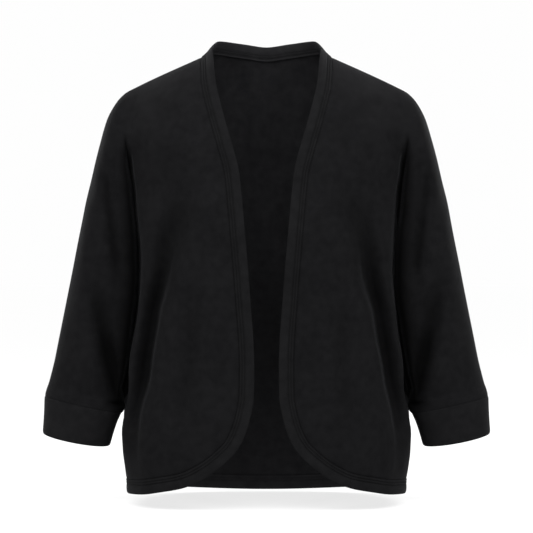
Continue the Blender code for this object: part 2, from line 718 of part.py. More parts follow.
def make_back_hem(back):
    """The band of the back hem, from one side seam to the other."""
    edge = both_sides(np.array(back["skirt"][-1]))
    leaves = edge_frame(edge, both_sides(np.array(back["skirt"][-2])))
    hangs = unit(leaves * BACK_HEM_FLARE + np.array(HEM_FALL))
    add_band("hem_back", edge, unit(np.gradient(edge, axis=0)), leaves, hangs, False)


def cuff_end(face):
    """Half of the cuff's free edge."""
    end = CUFF_END
    inner = end["inner"] + CUFF_CLOTH
    outer = end["outer"] - CUFF_CLOTH
    middle = float(table_value(ARM_LINE, end["inner_height"]))
    depth = end["depth"] - CUFF_CLOTH
    ring = sleeve_ring(face, inner, outer, depth, middle, end["inner_height"], end["outer_height"])
    ring[:, 2] += CUFF_DIP * (ring[:, 1] - middle)
    return ring


def cuff_half(panel, share, order):
    """Half of one of the cuff's rings, at a share of the way from its seam to its free edge."""
    start = panel["sleeve"][-1]
    finish = cuff_end(panel["face"])
    begin = start + unit(finish - start) * SEAM_GAP
    begin[0, 1] = start[0, 1] + order * SEAM_GAP / 2
    begin[-1, 1] = start[-1, 1] + order * SEAM_GAP / 2
    points = mix(begin, finish, share)
    outward = np.clip((start[:, 0] - start[0, 0]) / (start[-1, 0] - start[0, 0]), 0, 1)[:, None]
    curve = mix(CUFF_CURVE_INNER, CUFF_CURVE_OUTER, outward)
    points[:, :2] = mix(begin[:, :2], finish[:, :2], share ** curve)
    return points[::order][1:]


def make_cuff(front, back, side, name):
    """One cuff: rings from its seam to its free edge, the front half and then the back half."""
    turn = mirrored if side < 0 else np.array
    sheet = Sheet()
    ids = []
    for i in range(CUFF_STRIPS + 1):
        share = i / CUFF_STRIPS
        row = np.vstack([cuff_half(front, share, 1), cuff_half(back, share, -1)])
        ring = [sheet.add(p) for p in turn(row)]
        ids.append(ring + ring[:1])
    for upper, lower in zip(ids[:-1], ids[1:]):
        sheet.strip(upper, lower, side < 0)
    make_object(name, sheet, CUFF_CLOTH, RIB, RIB_ROUGHNESS)


for old in list(bpy.data.objects):
    bpy.data.objects.remove(old, do_unlink=True)
garment = bpy.data.collections.new("cardigan")
bpy.context.scene.collection.children.link(garment)

front_half = half_panel("front")
back_half = half_panel("back")
band_line, band_run, band_leaves = band_path(front_half, back_half)
band_finish = band_ends(band_line, band_leaves)

for side, name in ((1, "left"), (-1, "right")):
    make_front(front_half, side, "front_" + name)
make_back(back_half)
for side, name in ((1, "left"), (-1, "right")):
    make_front_bands(front_half, band_line, band_run, band_leaves, band_finish, side, name)
make_neck_band(back_half, band_line, band_run, band_leaves, band_finish)
make_back_hem(back_half)
for side, name in ((1, "left"), (-1, "right")):
    make_cuff(front_half, back_half, side, "cuff_" + name)
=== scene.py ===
"""Looks of the open-front dolman cardigan: fine jersey shells on the forms of the solids.

Lengths are in millimetres and become metres when a mesh is made. X runs to the wearer's left, the
front faces -Y and Z is up. Height 0 is the point where the shoulder seam meets the neck.
"""
import math

import bpy
import numpy as np
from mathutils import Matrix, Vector
from mathutils.kdtree import KDTree


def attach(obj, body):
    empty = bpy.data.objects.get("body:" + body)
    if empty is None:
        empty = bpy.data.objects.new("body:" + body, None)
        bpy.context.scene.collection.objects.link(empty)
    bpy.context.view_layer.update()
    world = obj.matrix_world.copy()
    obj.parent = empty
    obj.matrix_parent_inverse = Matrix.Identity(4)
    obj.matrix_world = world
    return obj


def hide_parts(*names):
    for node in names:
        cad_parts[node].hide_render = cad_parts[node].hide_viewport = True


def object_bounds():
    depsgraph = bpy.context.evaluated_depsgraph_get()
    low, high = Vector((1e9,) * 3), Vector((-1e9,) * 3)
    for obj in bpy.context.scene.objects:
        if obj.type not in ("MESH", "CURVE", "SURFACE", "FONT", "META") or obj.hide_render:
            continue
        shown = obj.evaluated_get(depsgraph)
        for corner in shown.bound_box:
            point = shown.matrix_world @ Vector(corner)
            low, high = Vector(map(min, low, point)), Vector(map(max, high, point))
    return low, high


MM = 0.001
TINY = 1e-9
SIDES = ((1, "left"), (-1, "right"))

# Camera: level, straight in front, at the height of the photo's middle.
PHOTO_SIZE = 533
PIXEL = 1.45
CAMERA_DISTANCE = 2800.0
CAMERA_HEIGHT = -299.4
SENSOR = 36.0

# Cloth and seams. The edges of a panel roll in beside its seams, and less beside the cuff.
CLOTH = 1.6
CUFF_CLOTH = 2.2
BAND_WIDTH = 20.5
# The shells meet in the underarm seam.
SEAM_GAP = 0.0
SEAM_ROLL = 1.3
SEAM_ROLL_REACH = 3.2
CUFF_ROLL_SHARE = 0.25
# How much fainter the painted seam shade is on the cuffs, and how far the painted shade of a seam reaches.
CUFF_SEAM_FADE = 1.5
SEAM_SHADE_REACH = 1.2
SEAM_SAMPLE = 0.8
FAR_FROM_SEAM = 20.0

# Heights that divide the cut.
NECK_HEIGHT = 2.5
YOKE_HEIGHT = -180.0
UNDERARM_HEIGHT = -496.0
UNDERARM_RISE = 23.0
SHOULDER_EDGE_HEIGHT = -41.0
SHOULDER_POINT_HEIGHT = -58.0
# Part of the way from the body's side to the overarm point, and the share of the fall there.
SHOULDER_BOW = (0.55, 0.42)
# How much nearer to the body the sleeve's under seam starts than it ends, and how far that is felt.
UNDERARM_CLOSE = 5.2
UNDERARM_CLOSE_REACH = 24.0
UNDERARM_CLOSE_CURVE = 4
CUFF_SEAM_INNER_HEIGHT = -511.0
CUFF_SEAM_OUTER_HEIGHT = -487.0
SIDE_HEM_HEIGHT = -603.0
BACK_HEM_HEIGHT = -616.0

# Roundness of the body's cross-section: 2 is an ellipse, more is squarer.
BODY_SQUARENESS = 2.8
EDGE_SHARE = 0.97
FLAT_SHARE = 0.85
FLAT_POINTS = 6
SIDE_POINTS = 5
SIDE_CLEARANCE = 6.0
# Degrees round the sleeve, from its inner side to the overarm.
ARM_START = 58.0
ARM_END = 180.0
ARM_ANGLES = np.linspace(ARM_START, ARM_END, 7)
UNDER_ANGLES = (0.0, 14.0, 28.0, 42.0)
RING_ANGLES = np.concatenate([UNDER_ANGLES, np.linspace(ARM_START, ARM_END, 8)])
ARM_BRIDGE_SHARE = 0.7
DEEP_CREASE = 0.35
FULL_CREASE = 0.85
BODY_WALL_SHARE = 0.62
ARM_WALL_SHARE = 0.24
TOP_WALL_SHARE = 0.1
YOKE_CURVE = 1.3
CENTRE_BACK_CURVE = 1.7
NECK_POINT_CURVE = 0.9
NECK_SHARE_BELOW = 0.66
NECK_FADE_CURVE = 0.7
NECK_SPREAD_CURVE = 0.7
COLUMNS_BEYOND_NECK = 7

# One row for each height of the body and upper sleeve. A crease of 1 reaches the underarm seam.
LEVEL_COLUMNS = (
    "height", "half_width", "gap", "front", "back",
    "arm_front", "arm_back", "front_crease", "back_crease",
)
LEVELS = (
    (-605, 202.0, 4, 127, 125, 36, 36, 1.00, 1.00),
    (-561, 208.0, 4, 126, 121, 36, 36, 1.00, 1.00),
    (-511, 206.8, 3, 124, 115, 37, 37, 1.00, 1.00),
    (-496, 204.6, 4, 123, 113, 39, 39, 1.00, 1.00),
    (-464, 198.2, 6, 122, 108, 43, 43, 0.985, 0.98),
    (-434, 194.3, 9, 121, 103, 45, 46, 0.97, 0.95),
    (-390, 187.0, 11, 120, 97, 46, 47, 0.95, 0.88),
    (-344, 181.0, 12, 120, 94, 47, 49, 0.92, 0.80),
    (-309, 179.4, 12, 121, 95, 48, 50, 0.89, 0.72),
    (-266, 181.0, 12, 121, 98, 50, 52, 0.84, 0.60),
    (-221, 185.0, 12, 117, 102, 51, 53, 0.80, 0.44),
    (-180, 189.2, 11, 110, 104, 52, 54, 0.68, 0.25),
    (-160, 192.5, 10, 110, 104, 52, 54, 0.54, 0.14),
    (-140, 195.7, 8, 110, 104, 52, 54, 0.32, 0.05),
    (-120, 198.6, 5, 110, 104, 52, 54, 0.10, 0.00),
    (-107, 200.0, 4, 110, 104, 52, 54, 0.00, 0.00),
    (-40, 190.0, 4, 110, 104, 52, 54, 0.00, 0.00),
)

# Front edge of the front panel, from its rounded corner up to the neck.
FRONT_EDGE = (
    (-561, 74.9), (-544, 58.2), (-529, 49.9), (-502, 41.6), (-480, 38.0), (-440, 37.4),
    (-401, 38.6), (-362, 41.5), (-310, 45.3), (-263, 49.3), (-207, 54.3), (-169, 58.5),
    (-136, 67.1), (-90, 80.2), (-39, 91.3), (0.5, 93.5),
)

# Overarm line, the outer edge of the sleeve seen from the front.
OVERARM = (
    (-539, 323.3), (-500, 320.0), (-487, 320.6), (-464, 314.6), (-435, 307.4), (-406, 301.6),
    (-348, 290.0), (-290, 278.4), (-232, 266.8), (-203, 261.0), (-174, 253.7), (-145, 246.5),
    (-116, 239.0), (-101, 235.0), (-87, 230.5), (-72, 223.3), (-58, 214.6),
)

# Middle of the sleeve from front to back: it swings a little forward towards the cuff.
ARM_LINE = ((-557, -11.0), (-511, -6.0), (-496, -3.0), (-464, -1.0), (-309, 0.0), (0, 0.0))

# How much higher the overarm lies than the underside on one section of the sleeve.
SLEEVE_RISE = (
    (-511, 24.0), (-496, UNDERARM_RISE), (-464, 20.0), (-390, 12.0), (-309, 4.0), (-221, 0.0), (0, 0.0),
)

# Seam of the front hem, from the rounded corner to the side seam.
FRONT_HEM = (
    (74.9, -561.0), (90.3, -572.5), (120.0, -587.7), (152.0, -595.0), (179.0, -600.5), (200.5, -603.0),
)
HEM_JOIN_ACROSS = 122.0

# Neckline of the back panel: how far behind and above the neck point it runs.
NECK_HALF_WIDTH = 93.5
NECKLINE = (
    (-40.0, 59.0, 7.5), (0.0, 65.0, 3.0), (40.0, 59.0, 7.5), (76.0, 38.0, 10.5),
    (88.0, 20.0, 6.0), (NECK_HALF_WIDTH, 0.0, 0.0),
)

# Which way the neck band stands at the shoulder seam and at the centre back.
SHOULDER_BAND_LEAN = (-0.71, 0.0, 0.70)
CENTRE_BAND_LEAN = (0.0, -0.25, 0.97)
BAND_STANDS_ABOVE = 70.0
BAND_FIRST_BEND = 0.15
BAND_BEND_END = 0.72
BAND_BEND_CURVE = 1.2
BAND_RUN_REACH = 3.0
BAND_FRAME_REACH = 24.0
# Points of the neckline that are taken from beyond the centre back, so that the directions run on there.
NECK_EXTRA = 3

# Which way the hem bands hang.
HEM_FALL = (0.0, 0.0, -1.0)
HEM_FALL_REACH = 50.0
BACK_HEM_FLARE = 0.3

# The long trough of each front, and the soft one that mirrors it on the back.
FRONT_TROUGH_LINE = (
    (-603, 199.0), (-555, 195.5), (-493, 186.0), (-420, 171.0), (-362, 156.0), (-309, 142.5),
    (-266, 136.0), (-221, 121.0), (-180, 112.0), (-107, 122.0), (-40, 140.0),
)
BACK_TROUGH_LINE = (
    (-603, 172.0), (-493, 166.0), (-362, 150.0), (-266, 138.0), (-180, 132.0), (-40, 140.0),
)
# One row for each height: how deep the front and the back trough are.
TROUGH_DEPTHS = (
    (-605, 0.0, 1.0), (-555, 2.5, 3.0), (-493, 12.0, 5.0), (-420, 15.5, 6.0), (-362, 15.0, 6.0),
    (-309, 12.0, 5.0), (-266, 8.0, 3.0), (-221, 4.0, 1.5), (-170, 0.0, 0.0), (0, 0.0, 0.0),
)
TROUGH_RIDGE = 7.5
TROUGH_SLOPE = (9.0, 20.0)
TROUGH_MARGIN = 12.0
# Distance past the trough's bottom, and the share of its depth there.
TROUGH_PROFILE = (
    (-30.0, 0.0), (-14.0, 0.0), (-TROUGH_RIDGE, 0.06), (-3.5, 0.36), (0.5, 0.82), (5.0, 1.0),
    (12.0, 0.9), (20.0, 0.5), (28.0, 0.1), (35.0, -0.1), (45.0, -0.08), (60.0, 0.0),
)
# How much wider the trough's inner slope is than in the profile, by height.
TROUGH_SOFTNESS = ((-603, 1.2), (-440, 1.35), (-377, 1.6), (-300, 2.3), (-170, 2.6), (0, 2.6))
TROUGH_SOFT_FROM = 5.0
TROUGH_STRAIGHT = 2.2
TROUGH_SCALE = 1.75
# Depth in mm at which the trough's painted shade is full.
TROUGH_FULL_SHADE = 46.0
# How much further forward the body's side stands beside the crease, by height.
SIDE_LIFT = (
    (-603, 0.0), (-555, 4.0), (-493, 8.0), (-391, 11.0), (-309, 8.0), (-221, 3.0), (-170, 0.0), (0, 0.0),
)
SIDE_SHARE = 0.985
# Painted shade of the crease: its start and the mm over which it grows full below the level from body to
# sleeve; the curve of the crease's and trough's painted shade; and the depth of a pressed fold at which its
# painted shade is full.
CREASE_SHADE = (1.5, 22.0)
SHADE_CURVE = 0.6
FOLD_FULL_SHADE = 11.0

# Folds pressed into the panels. A line is in across and height; the width is on each side of it,
# first towards the middle of the garment and then away from it. A depth below 0 is a ridge.
FOLD_COLUMNS = ("line", "depth", "inner_width", "outer_width")
FRONT_FOLDS = (
    # Drag folds of the sleeve.
    (((207, -345), (212, -290), (219, -238), (228, -185), (234, -150)), 6.0, 6, 9),
    (
        ((206, -520), (212, -484), (218, -455), (228, -412), (236, -380), (243, -343), (249, -280)),
        8.5, 16, 13,
    ),
    (((203, -540), (208, -500), (214, -465), (222, -425), (230, -380)), 6.0, 12, 12),
    (((228, -205), (224, -160), (221, -108)), 1.2, 8, 12),
    (((252, -190), (256, -230), (260, -275), (263, -330)), -1.2, 7, 7),
    (((290, -480), (286, -420), (274, -350)), 1.6, 12, 14),
    # Soft verticals of the chest and the skirt.
    (((98, -320), (104, -390), (109, -460), (114, -540)), 3.2, 13, 15),
    (((74, -212), (71, -250), (68, -296)), 1.6, 9, 11),
    (((60, -360), (62, -420), (66, -490)), 1.1, 12, 14),
    (((150, -112), (138, -160), (124, -215)), 1.8, 14, 16),
    (((178, -100), (187, -132), (190, -170)), 1.6, 10, 8),
    (((172, -54), (142, -73), (106, -97)), 2.2, 11, 13),
    (((150, -560), (146, -585), (140, -604)), 1.0, 12, 12),
)
BACK_FOLDS = (
    (((210, -470), (218, -440), (230, -395), (238, -350)), 4.2, 8, 13),
    (((205, -290), (213, -245), (222, -200)), 2.4, 8, 10),
    (((262, -222), (264, -280), (268, -330)), -1.4, 6, 8),
    (((288, -465), (282, -420), (272, -372)), 1.2, 12, 12),
    (((60, -330), (66, -410), (74, -500), (80, -585)), 2.2, 18, 20),
    (((112, -300), (118, -390), (124, -480)), 1.8, 15, 18),
    (((0, -350), (3, -440), (2, -540)), 1.5, 20, 20),
    (((160, -110), (150, -160), (140, -220)), 1.8, 14, 14),
    (((40, -46), (70, -64), (104, -90)), 1.0, 14, 16),
    (((30, -250), (70, -262), (120, -250)), 1.2, 14, 16),
)
FOLD_SAMPLES = 60
FOLD_END = 0.3
FOLD_CALM_REACH = 16.0

# Slow unevenness of the hanging cloth: wave lengths across and down, phase, height.
WAVES = (
    (118.0, 310.0, 0.6, 0.55), (-83.0, 240.0, 2.1, 0.40), (61.0, 520.0, 4.0, 0.30),
    (210.0, -95.0, 1.3, 0.35), (47.0, 150.0, 5.2, 0.16),
)

# Free edge of the cuff.
CUFF_END = {"inner": 226.0, "outer": 323.3, "inner_height": -557.0, "outer_height": -539.4, "depth": 33.0}
CUFF_DIP = 0.12
CUFF_CURVE_INNER = 0.7
CUFF_CURVE_OUTER = 1.8
# Cross-section of the cuff: share of its depth, and its outer and inner faces.
CUFF_SEAM_SECTION = ((0.0, 1.3, 0.3), (0.015, 1.9, 0.1), (0.05, 2.2, 0.0), (0.1, 2.35, 0.0))
CUFF_PLAIN_SECTION = tuple((float(share), 2.4, 0.0) for share in np.linspace(0.18, 0.88, 12))
CUFF_EDGE_SECTION = ((0.94, 2.3, 0.1), (0.975, 2.0, 0.35), (0.992, 1.65, 0.65), (1.0, 1.2, 1.15))
CUFF_SECTION = CUFF_SEAM_SECTION + CUFF_PLAIN_SECTION + CUFF_EDGE_SECTION

# Columns of the solids, and how many steps of the shell lie between two of them.
YOKE_ROWS = 9
BODY_ROWS = 12
SKIRT_ROWS = 5
SLEEVE_END_ROWS = 2
CHEST_COLUMNS = 5
NECK_COLUMNS = 6
BACK_COLUMNS = 2
TROUGH_COLUMNS = 5
WALL_COLUMNS = 3
SLEEVE_COLUMNS = 7
SPLINE_STEPS = 24
ROW_STEPS = 6
CHEST_STEPS = 6
BACK_STEPS = 5
TROUGH_STEPS = 4
WALL_STEPS = 5
SLEEVE_STEPS = 6
# Steps that crowd towards a sewn edge, as shares of the space between two columns.
EDGE_STEPS = (0.0, 0.05, 0.11, 0.19, 0.3, 0.45, 0.65, 0.83)

# Cross-section of a folded band: distance from its seam, and its outer and inner faces.
BAND_SECTION = (
    (-0.7, 0.1, -0.9), (0.1, 0.9, -0.7), (0.8, 1.9, 0.0), (2.2, 2.4, 0.0), (2.9, 2.15, 0.0),
    (3.7, 1.25, 0.25), (4.5, 2.15, 0.0), (5.6, 2.55, 0.0), (6.6, 2.25, 0.0), (7.4, 1.3, 0.25),
    (8.2, 2.25, 0.0), (10.5, 2.75, 0.0), (14.0, 2.85, 0.0), (17.5, 2.6, 0.1), (19.3, 2.15, 0.35),
    (20.1, 1.7, 0.65), (20.5, 1.2, 1.15),
)
NEEDLE_LINES = (3.7, 7.4)

# A stitch of sewing thread, in mm; its thread rises and sinks by shares of its radius.
STITCH = {"length": 2.5, "pitch": 3.1, "radius": 0.27, "rise": 1.6, "sink": 0.9, "sides": 5, "steps": 4}

# One row for each cloth: darkest and lightest colour, sheen, width and height of a knit stitch in mm,
# its relief in metres, and the share of the colour left in a seam and along the needle lines, where shade is
# painted.
CLOTH_COLUMNS = ("name", "dark", "light", "sheen", "wale", "course", "relief", "painted_seam_shade")
CLOTHS = (
    ("panel_jersey", (0.0038, 0.0038, 0.0042), (0.0062, 0.0062, 0.0067), 0.045, 1.1, 0.9, 0.00025, 0.85),
    # The reverse is a lighter copy of the jersey: painted light on the inside faces.
    ("reverse_jersey", (0.0085, 0.0085, 0.0093), (0.0140, 0.0140, 0.0150), 0.03, 0.9, 1.1, 0.0003, 0.85),
    # The band is the panel's black jersey with painted light: a little lighter where the folded band puffs
    # out.
    ("band_jersey", (0.0047, 0.0047, 0.0051), (0.0073, 0.0073, 0.0078), 0.06, 1.1, 0.9, 0.00025, 0.7),
    # The band's reverse is lighter again: painted light on its inside faces.
    ("band_reverse", (0.0105, 0.0105, 0.0115), (0.0165, 0.0165, 0.0175), 0.03, 1.1, 0.9, 0.00025, 0.85),
)
# Share of the colour left deepest in a fold, trough or crease: painted shade.
PAINTED_FOLD_SHADE = 0.2
# Scale and detail of the jersey's slow, heather, fine and soft noise.
JERSEY_NOISES = ((22.0, 3.0), (95.0, 5.0), (900.0, 2.0), (140.0, 3.0))
MOTTLE_PARTS = (0.35, 0.65)
MOTTLE_RANGE = (0.34, 0.66)
JERSEY_ROUGHNESS = (0.84, 0.98)
JERSEY_SHADER = {"Specular IOR Level": 0.05, "Sheen Roughness": 0.25, "Sheen Tint": (0.55, 0.56, 0.6, 1.0)}
KNIT_STRENGTH = 0.35
# Strength of the soft unevenness, and its height in metres.
SOFT_RELIEF = (0.25, 0.0006)
THREAD_NOISE = (1500.0, 1.0)
THREAD_ROUGHNESS = (0.5, 0.75)
THREAD_COLOURS = ((0.0022, 0.0022, 0.0024), (0.0042, 0.0042, 0.0045))
THREAD_SHADER = {"Specular IOR Level": 0.1}

# One row for each soft light: place and size in metres, power in watts.
LIGHT_TARGET = (0.0, 0.0, -0.25)
LIGHTS = (
    ("key", (0.0, -1.7, 1.7), (1.6, 0.8), 34.0),
    ("left", (-1.3, -1.3, 1.4), (0.8, 0.8), 20.0),
    ("right", (1.3, -1.3, 1.4), (0.8, 0.8), 20.0),
    ("rear_left", (-1.6, 1.1, 0.6), (0.8, 0.8), 26.0),
    ("rear_right", (1.6, 1.1, 0.6), (0.8, 0.8), 26.0),
)
SURROUNDINGS = {"colour": (0.99, 0.99, 0.99, 1.0), "strength": 1.0}
FLOOR_HALF = 30.0
FLOOR_BELOW = 0.003
FLOOR_SHADER = {
    "Base Color": (0.23, 0.23, 0.23, 1.0), "Emission Color": (1.0, 1.0, 1.0, 1.0), "Emission Strength": 0.76,
    "Roughness": 0.9, "Specular IOR Level": 0.0,
}


def table_value(table, at, column=1):
    """Smooth value of one column of a table whose first column rises."""
    data = np.array(table, dtype=float)
    xs = data[:, 0]
    ys = data[:, column]
    steps = np.diff(xs)
    slopes = np.diff(ys) / steps
    tangents = np.zeros(len(xs))
    tangents[0] = slopes[0]
    tangents[-1] = slopes[-1]
    for i in range(1, len(xs) - 1):
        if slopes[i - 1] * slopes[i] > 0:
            a = 2 * steps[i] + steps[i - 1]
            b = steps[i] + 2 * steps[i - 1]
            tangents[i] = (a + b) / (a / slopes[i - 1] + b / slopes[i])
    at = np.clip(np.asarray(at, dtype=float), xs[0], xs[-1])
    i = np.clip(np.searchsorted(xs, at, side="right") - 1, 0, len(xs) - 2)
    h = steps[i]
    t = (at - xs[i]) / h
    return (
        (1 + 2 * t) * (1 - t) ** 2 * ys[i] + t * (1 - t) ** 2 * h * tangents[i]
        + t * t * (3 - 2 * t) * ys[i + 1] + t * t * (t - 1) * h * tangents[i + 1]
    )


def level(name, height):
    return float(table_value(LEVELS, height, LEVEL_COLUMNS.index(name)))


def mix(a, b, share):
    return a + (b - a) * share


def unit(vectors):
    lengths = np.linalg.norm(vectors, axis=-1, keepdims=True)
    return vectors / np.maximum(lengths, TINY)


def smooth_line(points, steps=SPLINE_STEPS):
    """Centripetal Catmull-Rom line through the points, and the sample index of each point."""
    points = np.array(points, dtype=float)
    first = 2 * points[0] - points[1]
    last = 2 * points[-1] - points[-2]
    knots = np.vstack([first, points, last])
    out = []
    for i in range(1, len(knots) - 2):
        p = knots[i - 1:i + 3]
        t = np.concatenate([[0.0], np.cumsum(np.linalg.norm(np.diff(p, axis=0), axis=1) ** 0.5)])
        s = np.linspace(t[1], t[2], steps, endpoint=False)[:, None]
        a1 = (t[1] - s) / (t[1] - t[0]) * p[0] + (s - t[0]) / (t[1] - t[0]) * p[1]
        a2 = (t[2] - s) / (t[2] - t[1]) * p[1] + (s - t[1]) / (t[2] - t[1]) * p[2]
        a3 = (t[3] - s) / (t[3] - t[2]) * p[2] + (s - t[2]) / (t[3] - t[2]) * p[3]
        b1 = (t[2] - s) / (t[2] - t[0]) * a1 + (s - t[0]) / (t[2] - t[0]) * a2
        b2 = (t[3] - s) / (t[3] - t[1]) * a2 + (s - t[1]) / (t[3] - t[1]) * a3
        out.append((t[2] - s) / (t[2] - t[1]) * b1 + (s - t[1]) / (t[2] - t[1]) * b2)
    out.append(points[-1:])
    return np.vstack(out), [i * steps for i in range(len(points))]


def lengths_along(line):
    return np.concatenate([[0.0], np.cumsum(np.linalg.norm(np.diff(line, axis=0), axis=1))])


def at_lengths(line, along, wanted):
    return np.stack([np.interp(wanted, along, line[:, k]) for k in range(line.shape[1])], axis=1)


def at_columns(line, along, columns, places):
    """Points at places between columns of a line, and how far along it they lie."""
    wanted = np.interp(places, np.arange(len(columns)), columns)
    return at_lengths(line, along, wanted), wanted


def garment_points(row, face, heights, middles=0.0):
    """Points of the garment from (across, depth) points, their heights and the middle they lie round."""
    sign = -1.0 if face == "front" else 1.0
    return np.stack([row[:, 0], sign * row[:, 1] + middles, heights], axis=1)


def body_arc(half_width, depth, start_across, end_share, count):
    """Cross-section of the body as (across, depth) from a start to a share of its half width."""
    power = 2 / BODY_SQUARENESS
    start = math.asin(min(1.0, (start_across / half_width) ** (1 / power)))
    end = math.asin(min(1.0, end_share ** (1 / power)))
    angles = np.linspace(start, end, count)
    return np.stack([half_width * np.sin(angles) ** power, depth * np.cos(angles) ** power], axis=1)


def arm_arc(inner, outer, depth, degrees):
    """Cross-section of the sleeve as (across, depth) at angles from its inner side round to the overarm."""
    angles = np.radians(degrees)
    middle = (inner + outer) / 2
    radius = (outer - inner) / 2
    return np.stack([middle - radius * np.cos(angles), depth * np.sin(angles)], axis=1)


def row_sizes(face, front_height, side_height, outer_height):
    """Sizes of one row, taken to the cloth's inner face."""
    sizes = {name: level(name, side_height) for name in LEVEL_COLUMNS[1:]}
    return {
        "front_edge": float(table_value(FRONT_EDGE, front_height)),
        "start": float(table_value(FRONT_EDGE, front_height)) if face == "front" else 0.0,
        "half_width": sizes["half_width"] - CLOTH,
        "gap": sizes["gap"] + 2 * CLOTH,
        "depth": sizes[face] - CLOTH,
        "arm_depth": sizes["arm_" + face] - CLOTH,
        "crease": sizes[face + "_crease"],
        "outer": float(table_value(OVERARM, outer_height)) - CLOTH,
        "arm_middle": float(table_value(ARM_LINE, side_height)),
    }


def stepped(steps, snug_start=False, snug_end=False):
    """Places between the solids' rows or columns, crowded at the ends that are sewn."""
    places = []
    for i, count in enumerate(steps):
        shares = np.arange(count) / count
        if snug_start and i == 0:
            shares = np.array(EDGE_STEPS)
        if snug_end and i == len(steps) - 1:
            shares = np.concatenate([[0.0], 1 - np.array(EDGE_STEPS[:0:-1])])
        places.append(i + shares)
    return np.concatenate(places + [[len(steps)]])


def chest_steps(face):
    head = [CHEST_STEPS] * CHEST_COLUMNS
    if face == "back":
        head = [BACK_STEPS] * (NECK_COLUMNS + BACK_COLUMNS)
    return head + [TROUGH_STEPS] * TROUGH_COLUMNS


def column_places(face):
    """Places of all columns, and the index of the valley between body and sleeve."""
    chest = chest_steps(face)
    body = chest + [WALL_STEPS] * (WALL_COLUMNS + 1)
    arm = [WALL_STEPS] * WALL_COLUMNS + [SLEEVE_STEPS] * SLEEVE_COLUMNS
    places = stepped(body + arm, snug_start=face == "front", snug_end=True)
    return places, int(np.searchsorted(places, len(body)))


def trough_lengths(line, along, end, face, side_height, spread=1.0):
    """Lengths of the solids' columns from the start to the body's edge, and the trough's bottom."""
    table = FRONT_TROUGH_LINE if face == "front" else BACK_TROUGH_LINE
    trough_across = float(table_value(table, side_height))
    across = line[:end, 0]
    place = float(np.interp(trough_across, across, along[:end]))
    edge = along[end]
    slope = TROUGH_SLOPE
    place = min(place, edge - slope[1] - TROUGH_MARGIN)
    ridge = place - TROUGH_RIDGE
    if face == "front":
        head = np.linspace(0.0, ridge, CHEST_COLUMNS + 1)
    else:
        neck_across = mix(NECK_HALF_WIDTH, NECK_SHARE_BELOW * line[end, 0], spread)
        neck = float(np.interp(neck_across, across, along[:end]))
        shares = np.linspace(0.0, 1.0, NECK_COLUMNS + 1)
        shares = mix(np.sin(shares * math.pi / 2), shares, spread)
        ridge = max(ridge, neck + TROUGH_MARGIN)
        place = max(place, ridge + TROUGH_RIDGE)
        head = np.concatenate([neck * shares, np.linspace(neck, ridge, BACK_COLUMNS + 1)[1:]])
    after = np.array([place, place + slope[0], place + slope[1]])
    middle = (after[-1] + edge) / 2
    return np.concatenate([head, after, [middle, edge]]), place


def push_in(points, past_bottom, face, side_height):
    """Press the long trough into a row of (across, depth) points, and give the painted shade of its depth."""
    column = 1 if face == "front" else 2
    depth = TROUGH_SCALE * float(table_value(TROUGH_DEPTHS, side_height, column))
    tangent = unit(np.gradient(points, axis=0))
    inward = np.stack([-tangent[:, 1], tangent[:, 0]], axis=1)
    inward *= -np.sign(inward[:, 1:2] + TINY)
    inward = unit(inward - np.array([0.0, TROUGH_STRAIGHT]))
    softness = float(table_value(TROUGH_SOFTNESS, side_height))
    stretched = TROUGH_SOFT_FROM + (past_bottom - TROUGH_SOFT_FROM) / softness
    past_bottom = np.where(past_bottom < TROUGH_SOFT_FROM, stretched, past_bottom)
    share = table_value(TROUGH_PROFILE, past_bottom)
    share = np.where(past_bottom < TROUGH_PROFILE[-1][0], share, 0.0)
    points += inward * (depth * share)[:, None]
    return np.clip(depth * share / TROUGH_FULL_SHADE, 0, 1) ** SHADE_CURVE


def neck_shares(places):
    """How far each back column lies from the centre back to the neck point, 1 from there on."""
    return np.clip(places / NECK_COLUMNS, 0, 1)


def column_curves(places):
    """How fast each back column leaves the neckline or the shoulder seam."""
    beyond = np.clip((places - NECK_COLUMNS) / COLUMNS_BEYOND_NECK, 0, 1)
    neck = mix(CENTRE_BACK_CURVE, NECK_POINT_CURVE, neck_shares(places) ** 2)
    return np.where(beyond > 0, mix(NECK_POINT_CURVE, YOKE_CURVE, beyond), neck)


